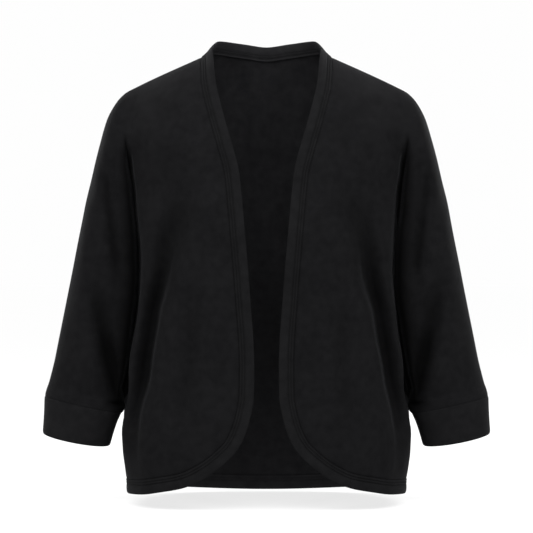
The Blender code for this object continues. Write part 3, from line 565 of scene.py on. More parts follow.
def common_row(face, heights, lift, places):
    """One row that runs from the front edge, or centre back, over the sleeve to the overarm line."""
    front_height, side_height, outer_height = heights
    s = row_sizes(face, front_height, side_height, outer_height)
    width = s["half_width"]
    inner = width + s["gap"]
    crease = s["crease"]
    deep = min(1.0, crease / DEEP_CREASE)
    full = min(1.0, crease / FULL_CREASE)
    flat = body_arc(width, s["depth"], s["start"], FLAT_SHARE, FLAT_POINTS)
    edge_depth = body_arc(width, s["depth"], 0.0, EDGE_SHARE, 2)[-1, 1]
    bridge = mix(flat[-1, 1], s["arm_depth"], ARM_BRIDGE_SHARE)
    side = float(table_value(SIDE_LIFT, side_height))
    across_share = mix(EDGE_SHARE, SIDE_SHARE, full)
    edge = np.array([across_share * width, mix(bridge, edge_depth, full) + side])
    arm = arm_arc(inner, s["outer"], s["arm_depth"], ARM_ANGLES)
    crest = np.array([(inner + s["outer"]) / 2, s["arm_depth"]])
    bridged = np.interp(arm[:, 0], [edge[0], crest[0]], [edge[1], crest[1]])
    bridged = np.where(arm[:, 0] < crest[0], np.maximum(bridged, arm[:, 1]), arm[:, 1])
    arm[:, 1] = mix(bridged, arm[:, 1], full)
    middle = width + s["gap"] / 2
    plain = np.interp([width, middle, inner], [edge[0], arm[0, 0]], [edge[1], arm[0, 1]])
    valley = np.array([middle, mix(plain[1], SEAM_GAP / 2, crease)])
    fall = (plain[1] - valley[1]) * TOP_WALL_SHARE
    body_low = mix(edge[1], valley[1], BODY_WALL_SHARE)
    arm_low = mix(arm[0, 1], valley[1], ARM_WALL_SHARE)
    body_wall = np.array([width, mix(plain[0] - fall, body_low, deep)])
    arm_wall = np.array([inner, mix(plain[2] - fall, arm_low, deep)])
    line, index = smooth_line(np.vstack([flat, edge, body_wall, valley, arm_wall, arm]))
    along = lengths_along(line)
    first, last, arm_start = index[FLAT_POINTS], index[FLAT_POINTS + 2], index[FLAT_POINTS + 4]
    chest, bottom = trough_lengths(line, along, first, face, side_height, lift ** NECK_SPREAD_CURVE)
    wall = np.linspace(along[first], along[last], WALL_COLUMNS + 2)[1:]
    inside = np.linspace(along[last], along[arm_start], WALL_COLUMNS + 1)[1:]
    over = np.linspace(along[arm_start], along[-1], SLEEVE_COLUMNS + 1)[1:]
    row, wanted = at_columns(line, along, np.concatenate([chest, wall, inside, over]), places)
    # Painted shade: darker the deeper the crease falls below the level from body to sleeve, and in the
    # trough.
    level_line = np.interp(row[:, 0], [edge[0], arm[0, 0]], [edge[1], arm[0, 1]])
    below = np.clip((level_line - row[:, 1] - CREASE_SHADE[0]) / CREASE_SHADE[1], 0, 1) ** SHADE_CURVE
    shade = np.where((wanted > along[first]) & (wanted < along[arm_start]), below, 0.0)
    shade = np.maximum(shade, push_in(row, wanted - bottom, face, side_height))
    if face == "back":
        lift = lift ** (column_curves(places) / YOKE_CURVE)
    row[:, 1] = row[:, 1] * lift
    return row, s, shade


def row_heights(across, s, front_height, side_height, outer_height, roundness=0.0):
    """Heights along a row through its front edge, its side and its overarm point, rounded or straight."""
    body_share = np.clip((across - s["front_edge"]) / (s["half_width"] - s["front_edge"]), 0, 1)
    arm_share = np.clip((across - s["half_width"]) / (s["outer"] - s["half_width"]), 0, 1)
    body_rise = (side_height - front_height) * body_share
    arm_rise = (outer_height - side_height) * arm_share
    bow_across = mix(s["half_width"], s["outer"], SHOULDER_BOW[0])
    bow_height = mix(side_height, outer_height, SHOULDER_BOW[1])
    line = (
        (s["front_edge"], front_height), (s["half_width"], side_height),
        (bow_across, bow_height), (s["outer"], outer_height),
    )
    return mix(front_height + body_rise + arm_rise, table_value(line, across), roundness)


def place_row(row, face, heights, arm_middle, places, valley_place):
    """Turn (across, depth) points into points of the garment."""
    ramp = np.clip((places - valley_place) / (places[-1] - valley_place), 0, 1)
    return garment_points(row, face, heights, arm_middle * np.sqrt(ramp))


def half_panel(face):
    """Rows of one half panel: the common rows, then the skirt rows and the sleeve end rows."""
    places, valley = column_places(face)
    valley_place = places[valley]
    common = []
    shades = []
    for i in stepped([ROW_STEPS] * YOKE_ROWS, snug_start=True):
        angle = math.radians(90.0 * i / YOKE_ROWS)
        fall = 1 - math.cos(angle)
        heights = (
            mix(NECK_HEIGHT, YOKE_HEIGHT, fall),
            mix(SHOULDER_EDGE_HEIGHT, YOKE_HEIGHT, fall),
            mix(SHOULDER_POINT_HEIGHT, YOKE_HEIGHT, fall),
        )
        lift = math.sin(angle) ** YOKE_CURVE
        row, s, shade = common_row(face, heights, lift, places)
        shades.append(shade)
        rises = row_heights(row[:, 0], s, *heights, roundness=1 - fall)
        if face == "back":
            if i == 0:
                neck_across = row[:, 0].copy()
            rise = lift ** (column_curves(places) / YOKE_CURVE)
            fading = (1 - rise) ** (1 + NECK_FADE_CURVE * neck_shares(places) ** 2)
            row[:, 1] += table_value(NECKLINE, neck_across, 1) * fading
            rises = rises + table_value(NECKLINE, neck_across, 2) * fading
        common.append(place_row(row, face, rises, s["arm_middle"] * lift, places, valley_place))
    for i in stepped([ROW_STEPS] * BODY_ROWS)[1:]:
        height = mix(YOKE_HEIGHT, UNDERARM_HEIGHT, i / BODY_ROWS)
        heights = (height, height, height + float(table_value(SLEEVE_RISE, height)))
        row, s, shade = common_row(face, heights, 1.0, places)
        shades.append(shade)
        rises = row_heights(row[:, 0], s, *heights)
        common.append(place_row(row, face, rises, s["arm_middle"], places, valley_place))
    skirt_shares = stepped([ROW_STEPS] * SKIRT_ROWS, snug_end=True)[1:] / SKIRT_ROWS
    sleeve_shares = stepped([ROW_STEPS] * SLEEVE_END_ROWS, snug_end=True)[1:] / SLEEVE_END_ROWS
    skirt = [skirt_row(face, share, places[:valley + 1]) for share in skirt_shares]
    sleeve = [sleeve_row(face, share, places[valley:] - valley_place) for share in sleeve_shares]
    # Painted shade of the folds on the body, and on the sleeve fading out towards the cuff.
    body_shade = [shade[:valley + 1] for shade in shades] + [row[1] for row in skirt]
    fading = np.linspace(1.0, 0.0, len(sleeve))
    arm_shade = [shade[valley:] for shade in shades] + [shades[-1][valley:] * share for share in fading]
    return {
        "common": np.array(common), "skirt": np.array([row[0] for row in skirt]),
        "sleeve": np.array(sleeve), "body_shade": np.array(body_shade), "arm_shade": np.array(arm_shade),
        "valley": valley, "face": face, "places": places,
    }


def hem_height(across, face):
    if face == "front":
        return table_value(FRONT_HEM, np.maximum(across, FRONT_HEM[0][0]))
    half = FRONT_HEM[-1][0]
    return BACK_HEM_HEIGHT + (SIDE_HEM_HEIGHT - BACK_HEM_HEIGHT) * np.clip(across / half, 0, 1) ** 2


def skirt_row(face, share, places):
    """One row of the body below the underarm, from the front edge or centre back to the side seam."""
    side_height = mix(UNDERARM_HEIGHT, SIDE_HEM_HEIGHT, share)
    front_height = mix(UNDERARM_HEIGHT, FRONT_HEM[0][1], share)
    s = row_sizes(face, front_height, side_height, side_height)
    flat = body_arc(s["half_width"], s["depth"], s["start"], FLAT_SHARE, FLAT_POINTS)
    wall = body_arc(s["half_width"], s["depth"], FLAT_SHARE * s["half_width"], 1.0, SIDE_POINTS)
    edge_point = body_arc(s["half_width"], s["depth"], 0.0, EDGE_SHARE, 2)[-1]
    edge_point[0] = mix(SIDE_SHARE, EDGE_SHARE, share) * s["half_width"]
    edge_point[1] += float(table_value(SIDE_LIFT, side_height))
    beyond = wall[wall[:, 1] < edge_point[1] - SIDE_CLEARANCE]
    line, index = smooth_line(np.vstack([flat, edge_point, beyond]))
    along = lengths_along(line)
    edge_index = index[FLAT_POINTS]
    chest, bottom = trough_lengths(line, along, edge_index, face, side_height)
    side = np.linspace(along[edge_index], along[-1], WALL_COLUMNS + 2)[1:]
    row, wanted = at_columns(line, along, np.concatenate([chest, side]), places)
    shade = push_in(row, wanted - bottom, face, side_height)
    return garment_points(row, face, mix(UNDERARM_HEIGHT, hem_height(row[:, 0], face), share)), shade


def sleeve_ring(face, inner, outer, depth, middle, heights, places):
    """Half a ring of the sleeve, from its under seam round to the overarm line."""
    line, index = smooth_line(arm_arc(inner, outer, depth, RING_ANGLES))
    along = lengths_along(line)
    start = along[index[len(UNDER_ANGLES)]]
    columns = np.concatenate([
        np.linspace(0.0, start, WALL_COLUMNS + 1),
        np.linspace(start, along[-1], SLEEVE_COLUMNS + 1)[1:],
    ])
    arc = at_columns(line, along, columns, places)[0]
    return garment_points(arc, face, mix(*heights, (arc[:, 0] - inner) / (outer - inner)), middle)


def sleeve_row(face, share, places):
    """One row of the sleeve between the underarm and the cuff seam."""
    inner_height = mix(UNDERARM_HEIGHT, CUFF_SEAM_INNER_HEIGHT, share)
    outer_height = mix(UNDERARM_HEIGHT + UNDERARM_RISE, CUFF_SEAM_OUTER_HEIGHT, share)
    s = row_sizes(face, UNDERARM_HEIGHT, inner_height, outer_height)
    inner = s["half_width"] + s["gap"]
    heights = (inner_height, outer_height)
    ring = sleeve_ring(face, inner, s["outer"], s["arm_depth"], s["arm_middle"], heights, places)
    near = np.clip(1 - (ring[:, 0] - inner) / UNDERARM_CLOSE_REACH, 0, 1) ** 2
    ring[:, 0] -= UNDERARM_CLOSE * (1 - share ** UNDERARM_CLOSE_CURVE) * near
    return ring


def mirrored(points):
    out = np.array(points, dtype=float)
    out[..., 0] *= -1
    return out


def turned(points, side):
    """Points of the wearer's left side as they are, or mirrored where the side is below 0."""
    return mirrored(points) if side < 0 else np.array(points, dtype=float)


def both_sides(half):
    """A line over both sides of the garment from its half on the wearer's left."""
    return np.vstack([mirrored(half[:0:-1]), half])


class Sheet:
    """Collects the points, cloth coordinates and faces of one surface."""

    def __init__(self):
        self.points = []
        self.cloth = []
        self.faces = []
        self.known = {}

    def add(self, point, cloth):
        key = tuple(np.round(point, 3))
        if key not in self.known:
            self.known[key] = len(self.points)
            self.points.append(tuple(float(v) for v in point))
            self.cloth.append(cloth)
        return self.known[key]

    def grid(self, rows, cloth, flip):
        """Faces between rows of points, whose cloth coordinates are in millimetres."""
        ids = [[self.add(p, c) for p, c in zip(row, marks)] for row, marks in zip(rows, cloth)]
        for upper, lower in zip(ids[:-1], ids[1:]):
            for j in range(len(upper) - 1):
                face = (upper[j], lower[j], lower[j + 1], upper[j + 1])
                if len(set(face)) == 4:
                    self.faces.append(face[::-1] if flip else face)


def cloth_marks(rows, shade):
    """How far each point lies along the cloth, across and down, and the painted shade it gets from lying in a
    fold.
    """
    across = np.zeros(rows.shape[:2])
    across[:, 1:] = np.cumsum(np.linalg.norm(np.diff(rows, axis=1), axis=2), axis=1)
    down = np.zeros(rows.shape[:2])
    down[1:] = np.cumsum(np.linalg.norm(np.diff(rows, axis=0), axis=2), axis=0)
    return np.stack([across, down, shade], axis=2)


def fold_share(across, height, fold):
    """How far one fold presses the cloth in at each point; a ridge presses it out."""
    fold = dict(zip(FOLD_COLUMNS, fold))
    samples = smooth_line(fold["line"], FOLD_SAMPLES // (len(fold["line"]) - 1))[0]
    place = np.stack([across, height], axis=1)
    gaps = place[:, None, :] - samples[None, :, :]
    square = np.sum(gaps * gaps, axis=2)
    nearest = np.argmin(square, axis=1)
    distance = np.sqrt(square[np.arange(len(place)), nearest])
    inner = gaps[np.arange(len(place)), nearest, 0] < 0
    width = np.where(inner, fold["inner_width"], fold["outer_width"])
    share = nearest / (len(samples) - 1)
    ends = np.clip(np.minimum(share, 1 - share) / FOLD_END, 0, 1)
    ends = ends * ends * (3 - 2 * ends)
    return fold["depth"] * ends * np.exp(-(distance / width) ** 2)


def shape_cloth(points, normals, face, seam_distance, cuff_distance):
    """Points of a panel with its folds, its slow unevenness and its edges rolled in at the seams, and the
    painted shade of its folds.
    """
    across = np.abs(points[:, 0])
    height = points[:, 2]
    push = np.zeros(len(points))
    for fold in FRONT_FOLDS if face == "front" else BACK_FOLDS:
        push += fold_share(across, height, fold)
    waves = np.zeros(len(points))
    for wide, long, phase, size in WAVES:
        waves += size * np.sin(points[:, 0] / wide * math.tau + height / long * math.tau + phase)
    calm = 1 - np.exp(-(seam_distance / FOLD_CALM_REACH) ** 2)
    # Painted shade of the pressed folds, by their depth.
    shade = np.clip(push * calm / FOLD_FULL_SHADE, 0, 1)
    push = (push + waves) * calm
    roll = np.clip(1 - seam_distance / SEAM_ROLL_REACH, 0, 1) ** 2 * SEAM_ROLL
    roll *= np.clip(cuff_distance / SEAM_ROLL_REACH, CUFF_ROLL_SHARE, 1)
    return points - normals * (push + roll)[:, None], shade


def seam_gaps(points, seam_lines):
    """Distance from each point to the nearest seam line."""
    samples = np.vstack([dense(line) for line in seam_lines])
    tree = KDTree(len(samples))
    for i, sample in enumerate(samples):
        tree.insert(sample, i)
    tree.balance()
    return np.array([tree.find(p)[2] for p in points])


def dense(line):
    """The same line with points close together."""
    along = lengths_along(line)
    return at_lengths(line, along, np.linspace(0.0, along[-1], max(2, int(along[-1] / SEAM_SAMPLE))))


def panel_sheet(panel, sides):
    """The sheet of a panel on one side or both sides."""
    sheet = Sheet()
    flip_back = panel["face"] == "back"
    valley = panel["valley"]
    body = np.concatenate([panel["common"][:, :valley + 1], panel["skirt"]])
    arm = np.concatenate([panel["common"][:, valley:], panel["sleeve"]])
    body_marks = cloth_marks(body, panel["body_shade"])
    arm_marks = cloth_marks(arm, panel["arm_shade"])
    arm_marks[:len(panel["common"]), :, 0] += body_marks[:len(panel["common"]), -1:, 0]
    arm_marks[len(panel["common"]):, :, 0] += body_marks[len(panel["common"]) - 1, -1, 0]
    for side in sides:
        flip = (side < 0) != flip_back
        marks = np.array([side, 1.0, 1.0])
        sheet.grid(turned(body, side), body_marks * marks, flip)
        sheet.grid(turned(arm, side), arm_marks * marks, flip)
    return sheet


def panel_seams(panel, sides):
    """Lines of the panel's sewn edges."""
    valley = panel["valley"]
    common, skirt, sleeve = panel["common"], panel["skirt"], panel["sleeve"]
    lines = [
        common[0], skirt[-1], sleeve[-1],
        np.concatenate([common[:, -1], sleeve[:, -1]]),
        np.concatenate([common[-1:, valley], skirt[:, -1]]),
        np.concatenate([common[-1:, valley], sleeve[:, 0]]),
    ]
    if panel["face"] == "front":
        lines.append(np.concatenate([common[:, 0], skirt[:, 0]]))
    return [turned(line, side) for side in sides for line in lines]


def point_values(mesh, name, values):
    mesh.attributes.new(name, "FLOAT", "POINT").data.foreach_set("value", np.asarray(values, dtype=float))


def mesh_object(name, points, faces, cloth, seam, materials, slots=None):
    """Make a smooth mesh object with cloth coordinates and the painted shade of its seams and folds."""
    mesh = bpy.data.meshes.new(name)
    mesh.from_pydata([tuple(p) for p in np.asarray(points) * MM], [], faces)
    mesh.validate()
    mesh.polygons.foreach_set("use_smooth", [True] * len(mesh.polygons))
    layer = mesh.uv_layers.new(name="cloth")
    corners = np.zeros(len(mesh.loops), dtype=int)
    mesh.loops.foreach_get("vertex_index", corners)
    layer.data.foreach_set("uv", (np.asarray(cloth)[corners][:, :2] * MM).ravel())
    # Painted shade of the folds and of the seams, kept on the points for the colour.
    if cloth.shape[1] > 2:
        point_values(mesh, "fold", cloth[:, 2])
    point_values(mesh, "seam", np.exp(-np.asarray(seam) / SEAM_SHADE_REACH))
    thing = bpy.data.objects.new(name, mesh)
    bpy.context.scene.collection.objects.link(thing)
    for material in materials:
        mesh.materials.append(material)
    if slots is not None:
        mesh.polygons.foreach_set("material_index", np.asarray(slots, dtype=int))
    return thing


def open_edges(faces):
    """Edges of a surface that only one face uses, in the order that face goes round."""
    seen = {}
    for face in faces:
        for a, b in zip(face, face[1:] + face[:1]):
            seen[(a, b)] = True
    return [edge for edge in seen if (edge[1], edge[0]) not in seen]


def panel_object(name, panel, sides, materials):
    """A panel's shell: its outer face, its reverse and the cut edge that joins them."""
    sheet = panel_sheet(panel, sides)
    points = np.array(sheet.points)
    draft = bpy.data.meshes.new("draft")
    draft.from_pydata([tuple(p) for p in points], [], sheet.faces)
    normals = np.zeros(len(points) * 3)
    draft.vertex_normals.foreach_get("vector", normals)
    normals = normals.reshape(-1, 3)
    bpy.data.meshes.remove(draft)
    gaps = seam_gaps(points, panel_seams(panel, sides))
    cuff_lines = [turned(panel["sleeve"][-1], side) for side in sides]
    points, shade = shape_cloth(points, normals, panel["face"], gaps, seam_gaps(points, cuff_lines))
    count = len(points)
    outer = [tuple(v + count for v in face) for face in sheet.faces]
    inner = [face[::-1] for face in sheet.faces]
    rim = [(a, b, b + count, a + count) for a, b in open_edges(sheet.faces)]
    slots = [0] * len(outer) + [1] * len(inner) + [0] * len(rim)
    both = np.vstack([points, points + normals * CLOTH])
    cloth = np.array(sheet.cloth)
    # Painted shade: the deeper of the trough's and crease's shade and that of the pressed folds.
    cloth[:, 2] = np.maximum(cloth[:, 2], shade)
    cloth = np.vstack([cloth, cloth])
    return mesh_object(name, both, outer + inner + rim, cloth, np.tile(gaps, 2), materials, slots)


def edge_frame(edge, inner):
    """Direction out of the cloth, square to the edge and in the cloth's surface."""
    run = unit(np.gradient(edge, axis=0))
    out = edge - inner
    out = out - np.sum(out * run, axis=1, keepdims=True) * run
    return unit(out)


def smoothed(vectors, along, reach):
    """Directions averaged along a line over a reach."""
    weights = np.exp(-((along[:, None] - along[None, :]) / reach) ** 2)
    return unit(weights @ vectors)


def band_rows(edge, run, start_directions, end_directions, section):
    """Inner face of a band at each distance of its section: it leaves along the cloth and bends."""
    current = edge + start_directions * section[0]
    rows = [current]
    for near, far in zip(section[:-1], section[1:]):
        along = max(0.0, (near + far) / 2) / (BAND_WIDTH * BAND_BEND_END)
        share = mix(BAND_FIRST_BEND, 1.0, min(1.0, along) ** BAND_BEND_CURVE)
        direction = unit(start_directions * (1 - share) + end_directions * share)
        direction = unit(direction - np.sum(direction * run, axis=1, keepdims=True) * run)
        current = current + direction * (far - near)
        rows.append(current)
    return np.array(rows)


def grid_normals(rows, toward):
    """Normals of a grid of points, on the side that the given directions point to."""
    across = np.gradient(rows, axis=0)
    run = np.gradient(rows, axis=1)
    normals = unit(np.cross(across, run))
    sign = np.sign(np.sum(normals * toward))
    return normals * sign


def folded_object(name, rows, normals, section, closed, materials):
    """A folded band: an outer and an inner face joined by a round fold, in one closed mesh."""
    distance = np.array([s[0] for s in section])
    outer = rows + normals * np.array([s[1] for s in section])[:, None, None]
    inner = rows + normals * np.array([s[2] for s in section])[:, None, None]
    loop = np.concatenate([outer, inner[::-1]])
    # Distance to the seam and the needle lines, for their painted shade; fainter on the cuffs.
    lines = np.array((0.0,) + (() if closed else NEEDLE_LINES))
    nearest = np.min(np.abs(distance[:, None] - lines[None, :]), axis=1)
    nearest = nearest + (CUFF_SEAM_FADE if closed else 0.0)
    gaps = np.concatenate([nearest, nearest[::-1]])
    count = rows.shape[1]
    run = lengths_along(rows[len(rows) // 2])
    points = loop.reshape(-1, 3)
    cloth = np.stack(np.meshgrid(run, np.concatenate([distance, 2 * distance[-1] - distance[::-1]])), axis=2)
    faces = []
    slots = []
    turns = len(loop)
    last = count if closed else count - 1
    for k in range(turns):
        here = k * count
        there = (k + 1) % turns * count
        for j in range(last):
            after = (j + 1) % count
            faces.append((here + j, there + j, there + after, here + after))
            slots.append(0 if k < len(outer) else 1)
    if not closed:
        half = turns // 2
        for k in range(half - 1):
            a, b = k * count, (k + 1) * count
            c, d = (turns - 2 - k) * count, (turns - 1 - k) * count
            faces.append((a, b, c, d)[::-1])
            faces.append(tuple(v + count - 1 for v in (a, b, c, d)))
            slots += [0, 0]
    seam = np.repeat(gaps, count)
    thing = mesh_object(name, points, faces, cloth.reshape(-1, 2), seam, materials, slots)
    outward(thing)
    return thing


def outward(thing):
    """Turn the faces of a closed mesh outward."""
    mesh = thing.data
    corners = np.zeros(len(mesh.vertices) * 3)
    mesh.vertices.foreach_get("co", corners)
    corners = corners.reshape(-1, 3)
    mesh.calc_loop_triangles()
    triangles = np.zeros(len(mesh.loop_triangles) * 3, dtype=int)
    mesh.loop_triangles.foreach_get("vertices", triangles)
    a, b, c = (corners[triangles.reshape(-1, 3)[:, k]] for k in range(3))
    if np.sum(a * np.cross(b, c)) < 0:
        mesh.flip_normals()


def stitch_line(rows, normals, place, inside):
    """The line of points that one needle follows on a band."""
    k = int(np.argmin([abs(s[0] - place) for s in BAND_SECTION]))
    depth = BAND_SECTION[k][2] if inside else BAND_SECTION[k][1]
    return rows[k] + normals[k] * depth, normals[k] * (-1.0 if inside else 1.0)


def stitches(name, lines, material):
    """Rows of single stitches, each a short thread that dips into the cloth at both ends."""
    around = STITCH["sides"]
    steps = STITCH["steps"]
    points = []
    faces = []
    for line, normals in lines:
        along = lengths_along(line)
        count = int(along[-1] / STITCH["pitch"])
        for n in range(count):
            start = (n + 0.5) * along[-1] / count - STITCH["length"] / 2
            wanted = start + STITCH["length"] * np.arange(steps + 1) / steps
            middle = at_lengths(line, along, wanted)
            up = unit(at_lengths(normals, along, wanted))
            bow = np.sin(np.pi * np.arange(steps + 1) / steps)
            middle = middle + up * (STITCH["radius"] * (STITCH["rise"] * bow - STITCH["sink"]))[:, None]
            run = unit(np.gradient(middle, axis=0))
            side = unit(np.cross(run, up))
            first = len(points)
            for k in range(steps + 1):
                for a in range(around):
                    angle = math.tau * a / around
                    offset = side[k] * math.cos(angle) + up[k] * math.sin(angle)
                    points.append(middle[k] + offset * STITCH["radius"])
            for k in range(steps):
                for a in range(around):
                    b = (a + 1) % around
                    here, there = first + k * around, first + (k + 1) * around
                    faces.append((here + a, here + b, there + b, there + a))
            faces.append(tuple(first + a for a in range(around))[::-1])
            faces.append(tuple(first + steps * around + a for a in range(around)))
    marks = np.zeros((len(points), 2))
    return mesh_object(name, points, faces, marks, np.full(len(points), FAR_FROM_SEAM), [material])


class Graph:
    """The nodes of one material."""

    def __init__(self, name):
        self.material = bpy.data.materials.new(name)
        self.material.use_nodes = True
        self.nodes = self.material.node_tree.nodes
        self.links = self.material.node_tree.links
        self.shader = self.nodes["Principled BSDF"]

    def feed(self, node, inputs):
        """Set each input of a node to a constant or link it to another node's output."""
        for name, value in inputs.items():
            if isinstance(value, bpy.types.NodeSocket):
                self.links.new(value, node.inputs[name])
            else:
                node.inputs[name].default_value = value

    def new(self, kind, inputs=None):
        node = self.nodes.new(kind)
        self.feed(node, inputs or {})
        return node

    def math(self, operation, first, second=0.5):
        node = self.new("ShaderNodeMath", {0: first, 1: second})
        node.operation = operation
        return node.outputs[0]

    def place(self):
        return self.new("ShaderNodeTexCoord").outputs["Object"]

    def noise(self, place, scale, detail):
        inputs = {"Vector": place, "Scale": scale, "Detail": detail}
        return self.new("ShaderNodeTexNoise", inputs).outputs["Fac"]

    def between(self, value, low, high, value_low=0.0, value_high=1.0):
        """A value taken from its own range to the one from low to high."""
        node = self.new("ShaderNodeMapRange", {"Value": value, "From Min": value_low, "From Max": value_high})
        self.feed(node, {"To Min": low, "To Max": high})
        return node.outputs["Result"]

    def blend(self, share, dark, light):
        """A colour between two colours."""
        node = self.new("ShaderNodeMix")
        node.data_type = "RGBA"
        self.feed(node, {"Factor": share, "A": (*dark, 1.0), "B": (*light, 1.0)})
        return node.outputs["Result"]

    def bump(self, height, strength, distance, **below):
        """Relief from a height, on top of the relief below it."""
        inputs = {"Height": height, "Strength": strength, "Distance": distance, **below}
        return self.new("ShaderNodeBump", inputs).outputs["Normal"]

    def shaded(self, colour, painted_seam_shade):
        """The colour with painted shade: darker in the seams, along the rows of stitches and deep in the
        folds.
        """
        factors = []
        for attribute, darkest in (("seam", painted_seam_shade), ("fold", PAINTED_FOLD_SHADE)):
            mark = self.new("ShaderNodeAttribute")
            mark.attribute_name = attribute
            factors.append(self.between(mark.outputs["Fac"], 1.0, darkest))
        node = self.new("ShaderNodeVectorMath")
        node.operation = "SCALE"
        self.feed(node, {0: colour, "Scale": self.math("MULTIPLY", *factors)})
        return node.outputs["Vector"]

    def knit_height(self, wale, course):
        """Height of plain jersey stitches: columns of small V shapes."""
        mark = self.new("ShaderNodeUVMap")
        mark.uv_map = "cloth"
        split = self.new("ShaderNodeSeparateXYZ", {0: mark.outputs[0]})
        column = self.math("MULTIPLY", split.outputs[0], 1 / MM / wale)
        row = self.math("MULTIPLY", split.outputs[1], 1 / MM / course)
        leg = self.math("ABSOLUTE", self.math("SUBTRACT", self.math("FRACT", column), 0.5))
        slant = self.math("MULTIPLY", self.math("ADD", row, leg), math.tau)
        groove = self.math("MULTIPLY", leg, math.tau)
        return self.math("ADD", self.math("SINE", slant), self.math("SINE", groove))


def jersey(name, dark, light, sheen, wale, course, relief, painted_seam_shade):
    """Matt black jersey: knit relief, soft unevenness, a faint sheen at its silhouette, and painted shade in
    its seams and folds.
    """
    graph = Graph(name)
    place = graph.place()
    slow, heather, fine, soft = [graph.noise(place, *size) for size in JERSEY_NOISES]
    slow_part = graph.math("MULTIPLY", slow, MOTTLE_PARTS[0])
    heather_part = graph.math("MULTIPLY", heather, MOTTLE_PARTS[1])
    mottle = graph.between(graph.math("ADD", slow_part, heather_part), 0.0, 1.0, *MOTTLE_RANGE)
    below = graph.bump(soft, *SOFT_RELIEF)
    graph.feed(graph.shader, {
        "Base Color": graph.shaded(graph.blend(mottle, dark, light), painted_seam_shade),
        "Roughness": graph.between(fine, *JERSEY_ROUGHNESS),
        "Sheen Weight": sheen,
        "Normal": graph.bump(graph.knit_height(wale, course), KNIT_STRENGTH, relief, Normal=below),
    })
    graph.feed(graph.shader, JERSEY_SHADER)
    return graph.material


def thread():
    """Polyester thread, a touch glossier than the jersey."""
    graph = Graph("thread")
    fine = graph.noise(graph.place(), *THREAD_NOISE)
    graph.feed(graph.shader, {
        "Base Color": graph.blend(fine, *THREAD_COLOURS),
        "Roughness": graph.between(fine, *THREAD_ROUGHNESS),
    })
    graph.feed(graph.shader, THREAD_SHADER)
    return graph.material


def front_edge_points(front):
    """Front edge from the neck down to the corner, then along the hem to the side seam."""
    near = len(EDGE_STEPS) + 1
    rows = np.concatenate([front["common"][:, :near], front["skirt"][:, :near]])
    edge = rows[:, 0]
    inner = rows[:, len(EDGE_STEPS)]
    hem = front["skirt"][-1]
    above = front["skirt"][-1 - len(EDGE_STEPS)]
    return np.vstack([edge, hem[1:]]), np.vstack([inner[:-1], (above[:1] + inner[-1:]) / 2, above[1:]])


def band_path(front, back):
    """The bands' path from the centre back round the neck, down the front and along the hem."""
    edge, inner = front_edge_points(front)
    neck_end = int(np.searchsorted(back["places"], NECK_COLUMNS))
    neck = back["common"][0][:neck_end + 1]
    below = back["common"][len(EDGE_STEPS)][:neck_end + 1]
    path = np.vstack([mirrored(neck[NECK_EXTRA:0:-1]), neck[:-1], edge])
    path_inner = np.vstack([mirrored(below[NECK_EXTRA:0:-1]), below[:-1], inner])
    along = lengths_along(path)
    run = smoothed(unit(np.gradient(path, axis=0)), along, BAND_RUN_REACH)
    leaves = smoothed(edge_frame(path, path_inner), along, BAND_FRAME_REACH)
    path, run, leaves = path[NECK_EXTRA:], run[NECK_EXTRA:], leaves[NECK_EXTRA:]
    side_share = np.clip(path[:, :1] / NECK_HALF_WIDTH, 0, 1)
    stands = np.clip(1 + path[:, 2:] / BAND_STANDS_ABOVE, 0, 1)
    lean = np.hstack([
        SHOULDER_BAND_LEAN[0] * side_share,
        CENTRE_BAND_LEAN[1] * (1 - side_share),
        mix(CENTRE_BAND_LEAN[2], SHOULDER_BAND_LEAN[2], side_share),
    ])
    low = path[:, 2:] < FRONT_HEM[0][1]
    drop = np.clip((path[:, :1] - HEM_JOIN_ACROSS) / HEM_FALL_REACH, 0, 1) * low
    ends = unit(leaves * (1 - stands) + unit(lean) * stands)
    ends = unit(ends * (1 - drop) + np.array(HEM_FALL) * drop)
    corner = neck_end + len(front["common"]) + len(front["skirt"]) - 1
    join = corner + int(np.argmin(np.abs(path[corner:, 0] - HEM_JOIN_ACROSS)))
    return path, run, leaves, ends, neck_end, join


def from_axis(rows):
    """Directions away from the garment's upright middle line."""
    out = np.array(rows)
    out[..., 2] = 0
    return unit(out)


def sewn_band(name, rows, materials, lines):
    """A band on the rows of its inner face, and the lines that its needles follow on both faces."""
    normals = grid_normals(rows, from_axis(rows))
    for needle in NEEDLE_LINES:
        for inside in (False, True):
            lines.append(stitch_line(rows, normals, needle, inside))
    return folded_object(name + "_jersey", rows, normals, BAND_SECTION, False, materials)


def make_bands(front, back, materials, thread_material):
    """All bands on the front edge, neck and hems, with their rows of stitches."""
    section = [s[0] for s in BAND_SECTION]
    path, run, leaves, ends, neck_end, join = band_path(front, back)
    made = {}
    lines = []
    for side, name in SIDES:
        for piece, part in (("band_", slice(neck_end, join + 1)), ("hem_", slice(join, None))):
            rows = band_rows(*(turned(line[part], side) for line in (path, run, leaves, ends)), section)
            made[piece + name] = sewn_band(piece + name, rows, materials, lines)
    neck = slice(0, neck_end + 1)
    neck_run = np.vstack([mirrored(run[neck][:0:-1]) * -1, run[neck]])
    neck_leaves, neck_ends = both_sides(leaves[neck]), both_sides(ends[neck])
    rows = band_rows(both_sides(path[neck]), neck_run, neck_leaves, neck_ends, section)
    made["neck_band"] = sewn_band("neck_band", rows, materials, lines)
    hem_edge = both_sides(back["skirt"][-1])
    leaves = edge_frame(hem_edge, both_sides(back["skirt"][-1 - len(EDGE_STEPS)]))
    hangs = unit(leaves * BACK_HEM_FLARE + np.array(HEM_FALL))
    rows = band_rows(hem_edge, unit(np.gradient(hem_edge, axis=0)), leaves, hangs, section)
    made["hem_back"] = sewn_band("hem_back", rows, materials, lines)
    made["stitches"] = stitches("band_stitches", lines, thread_material)
    return made


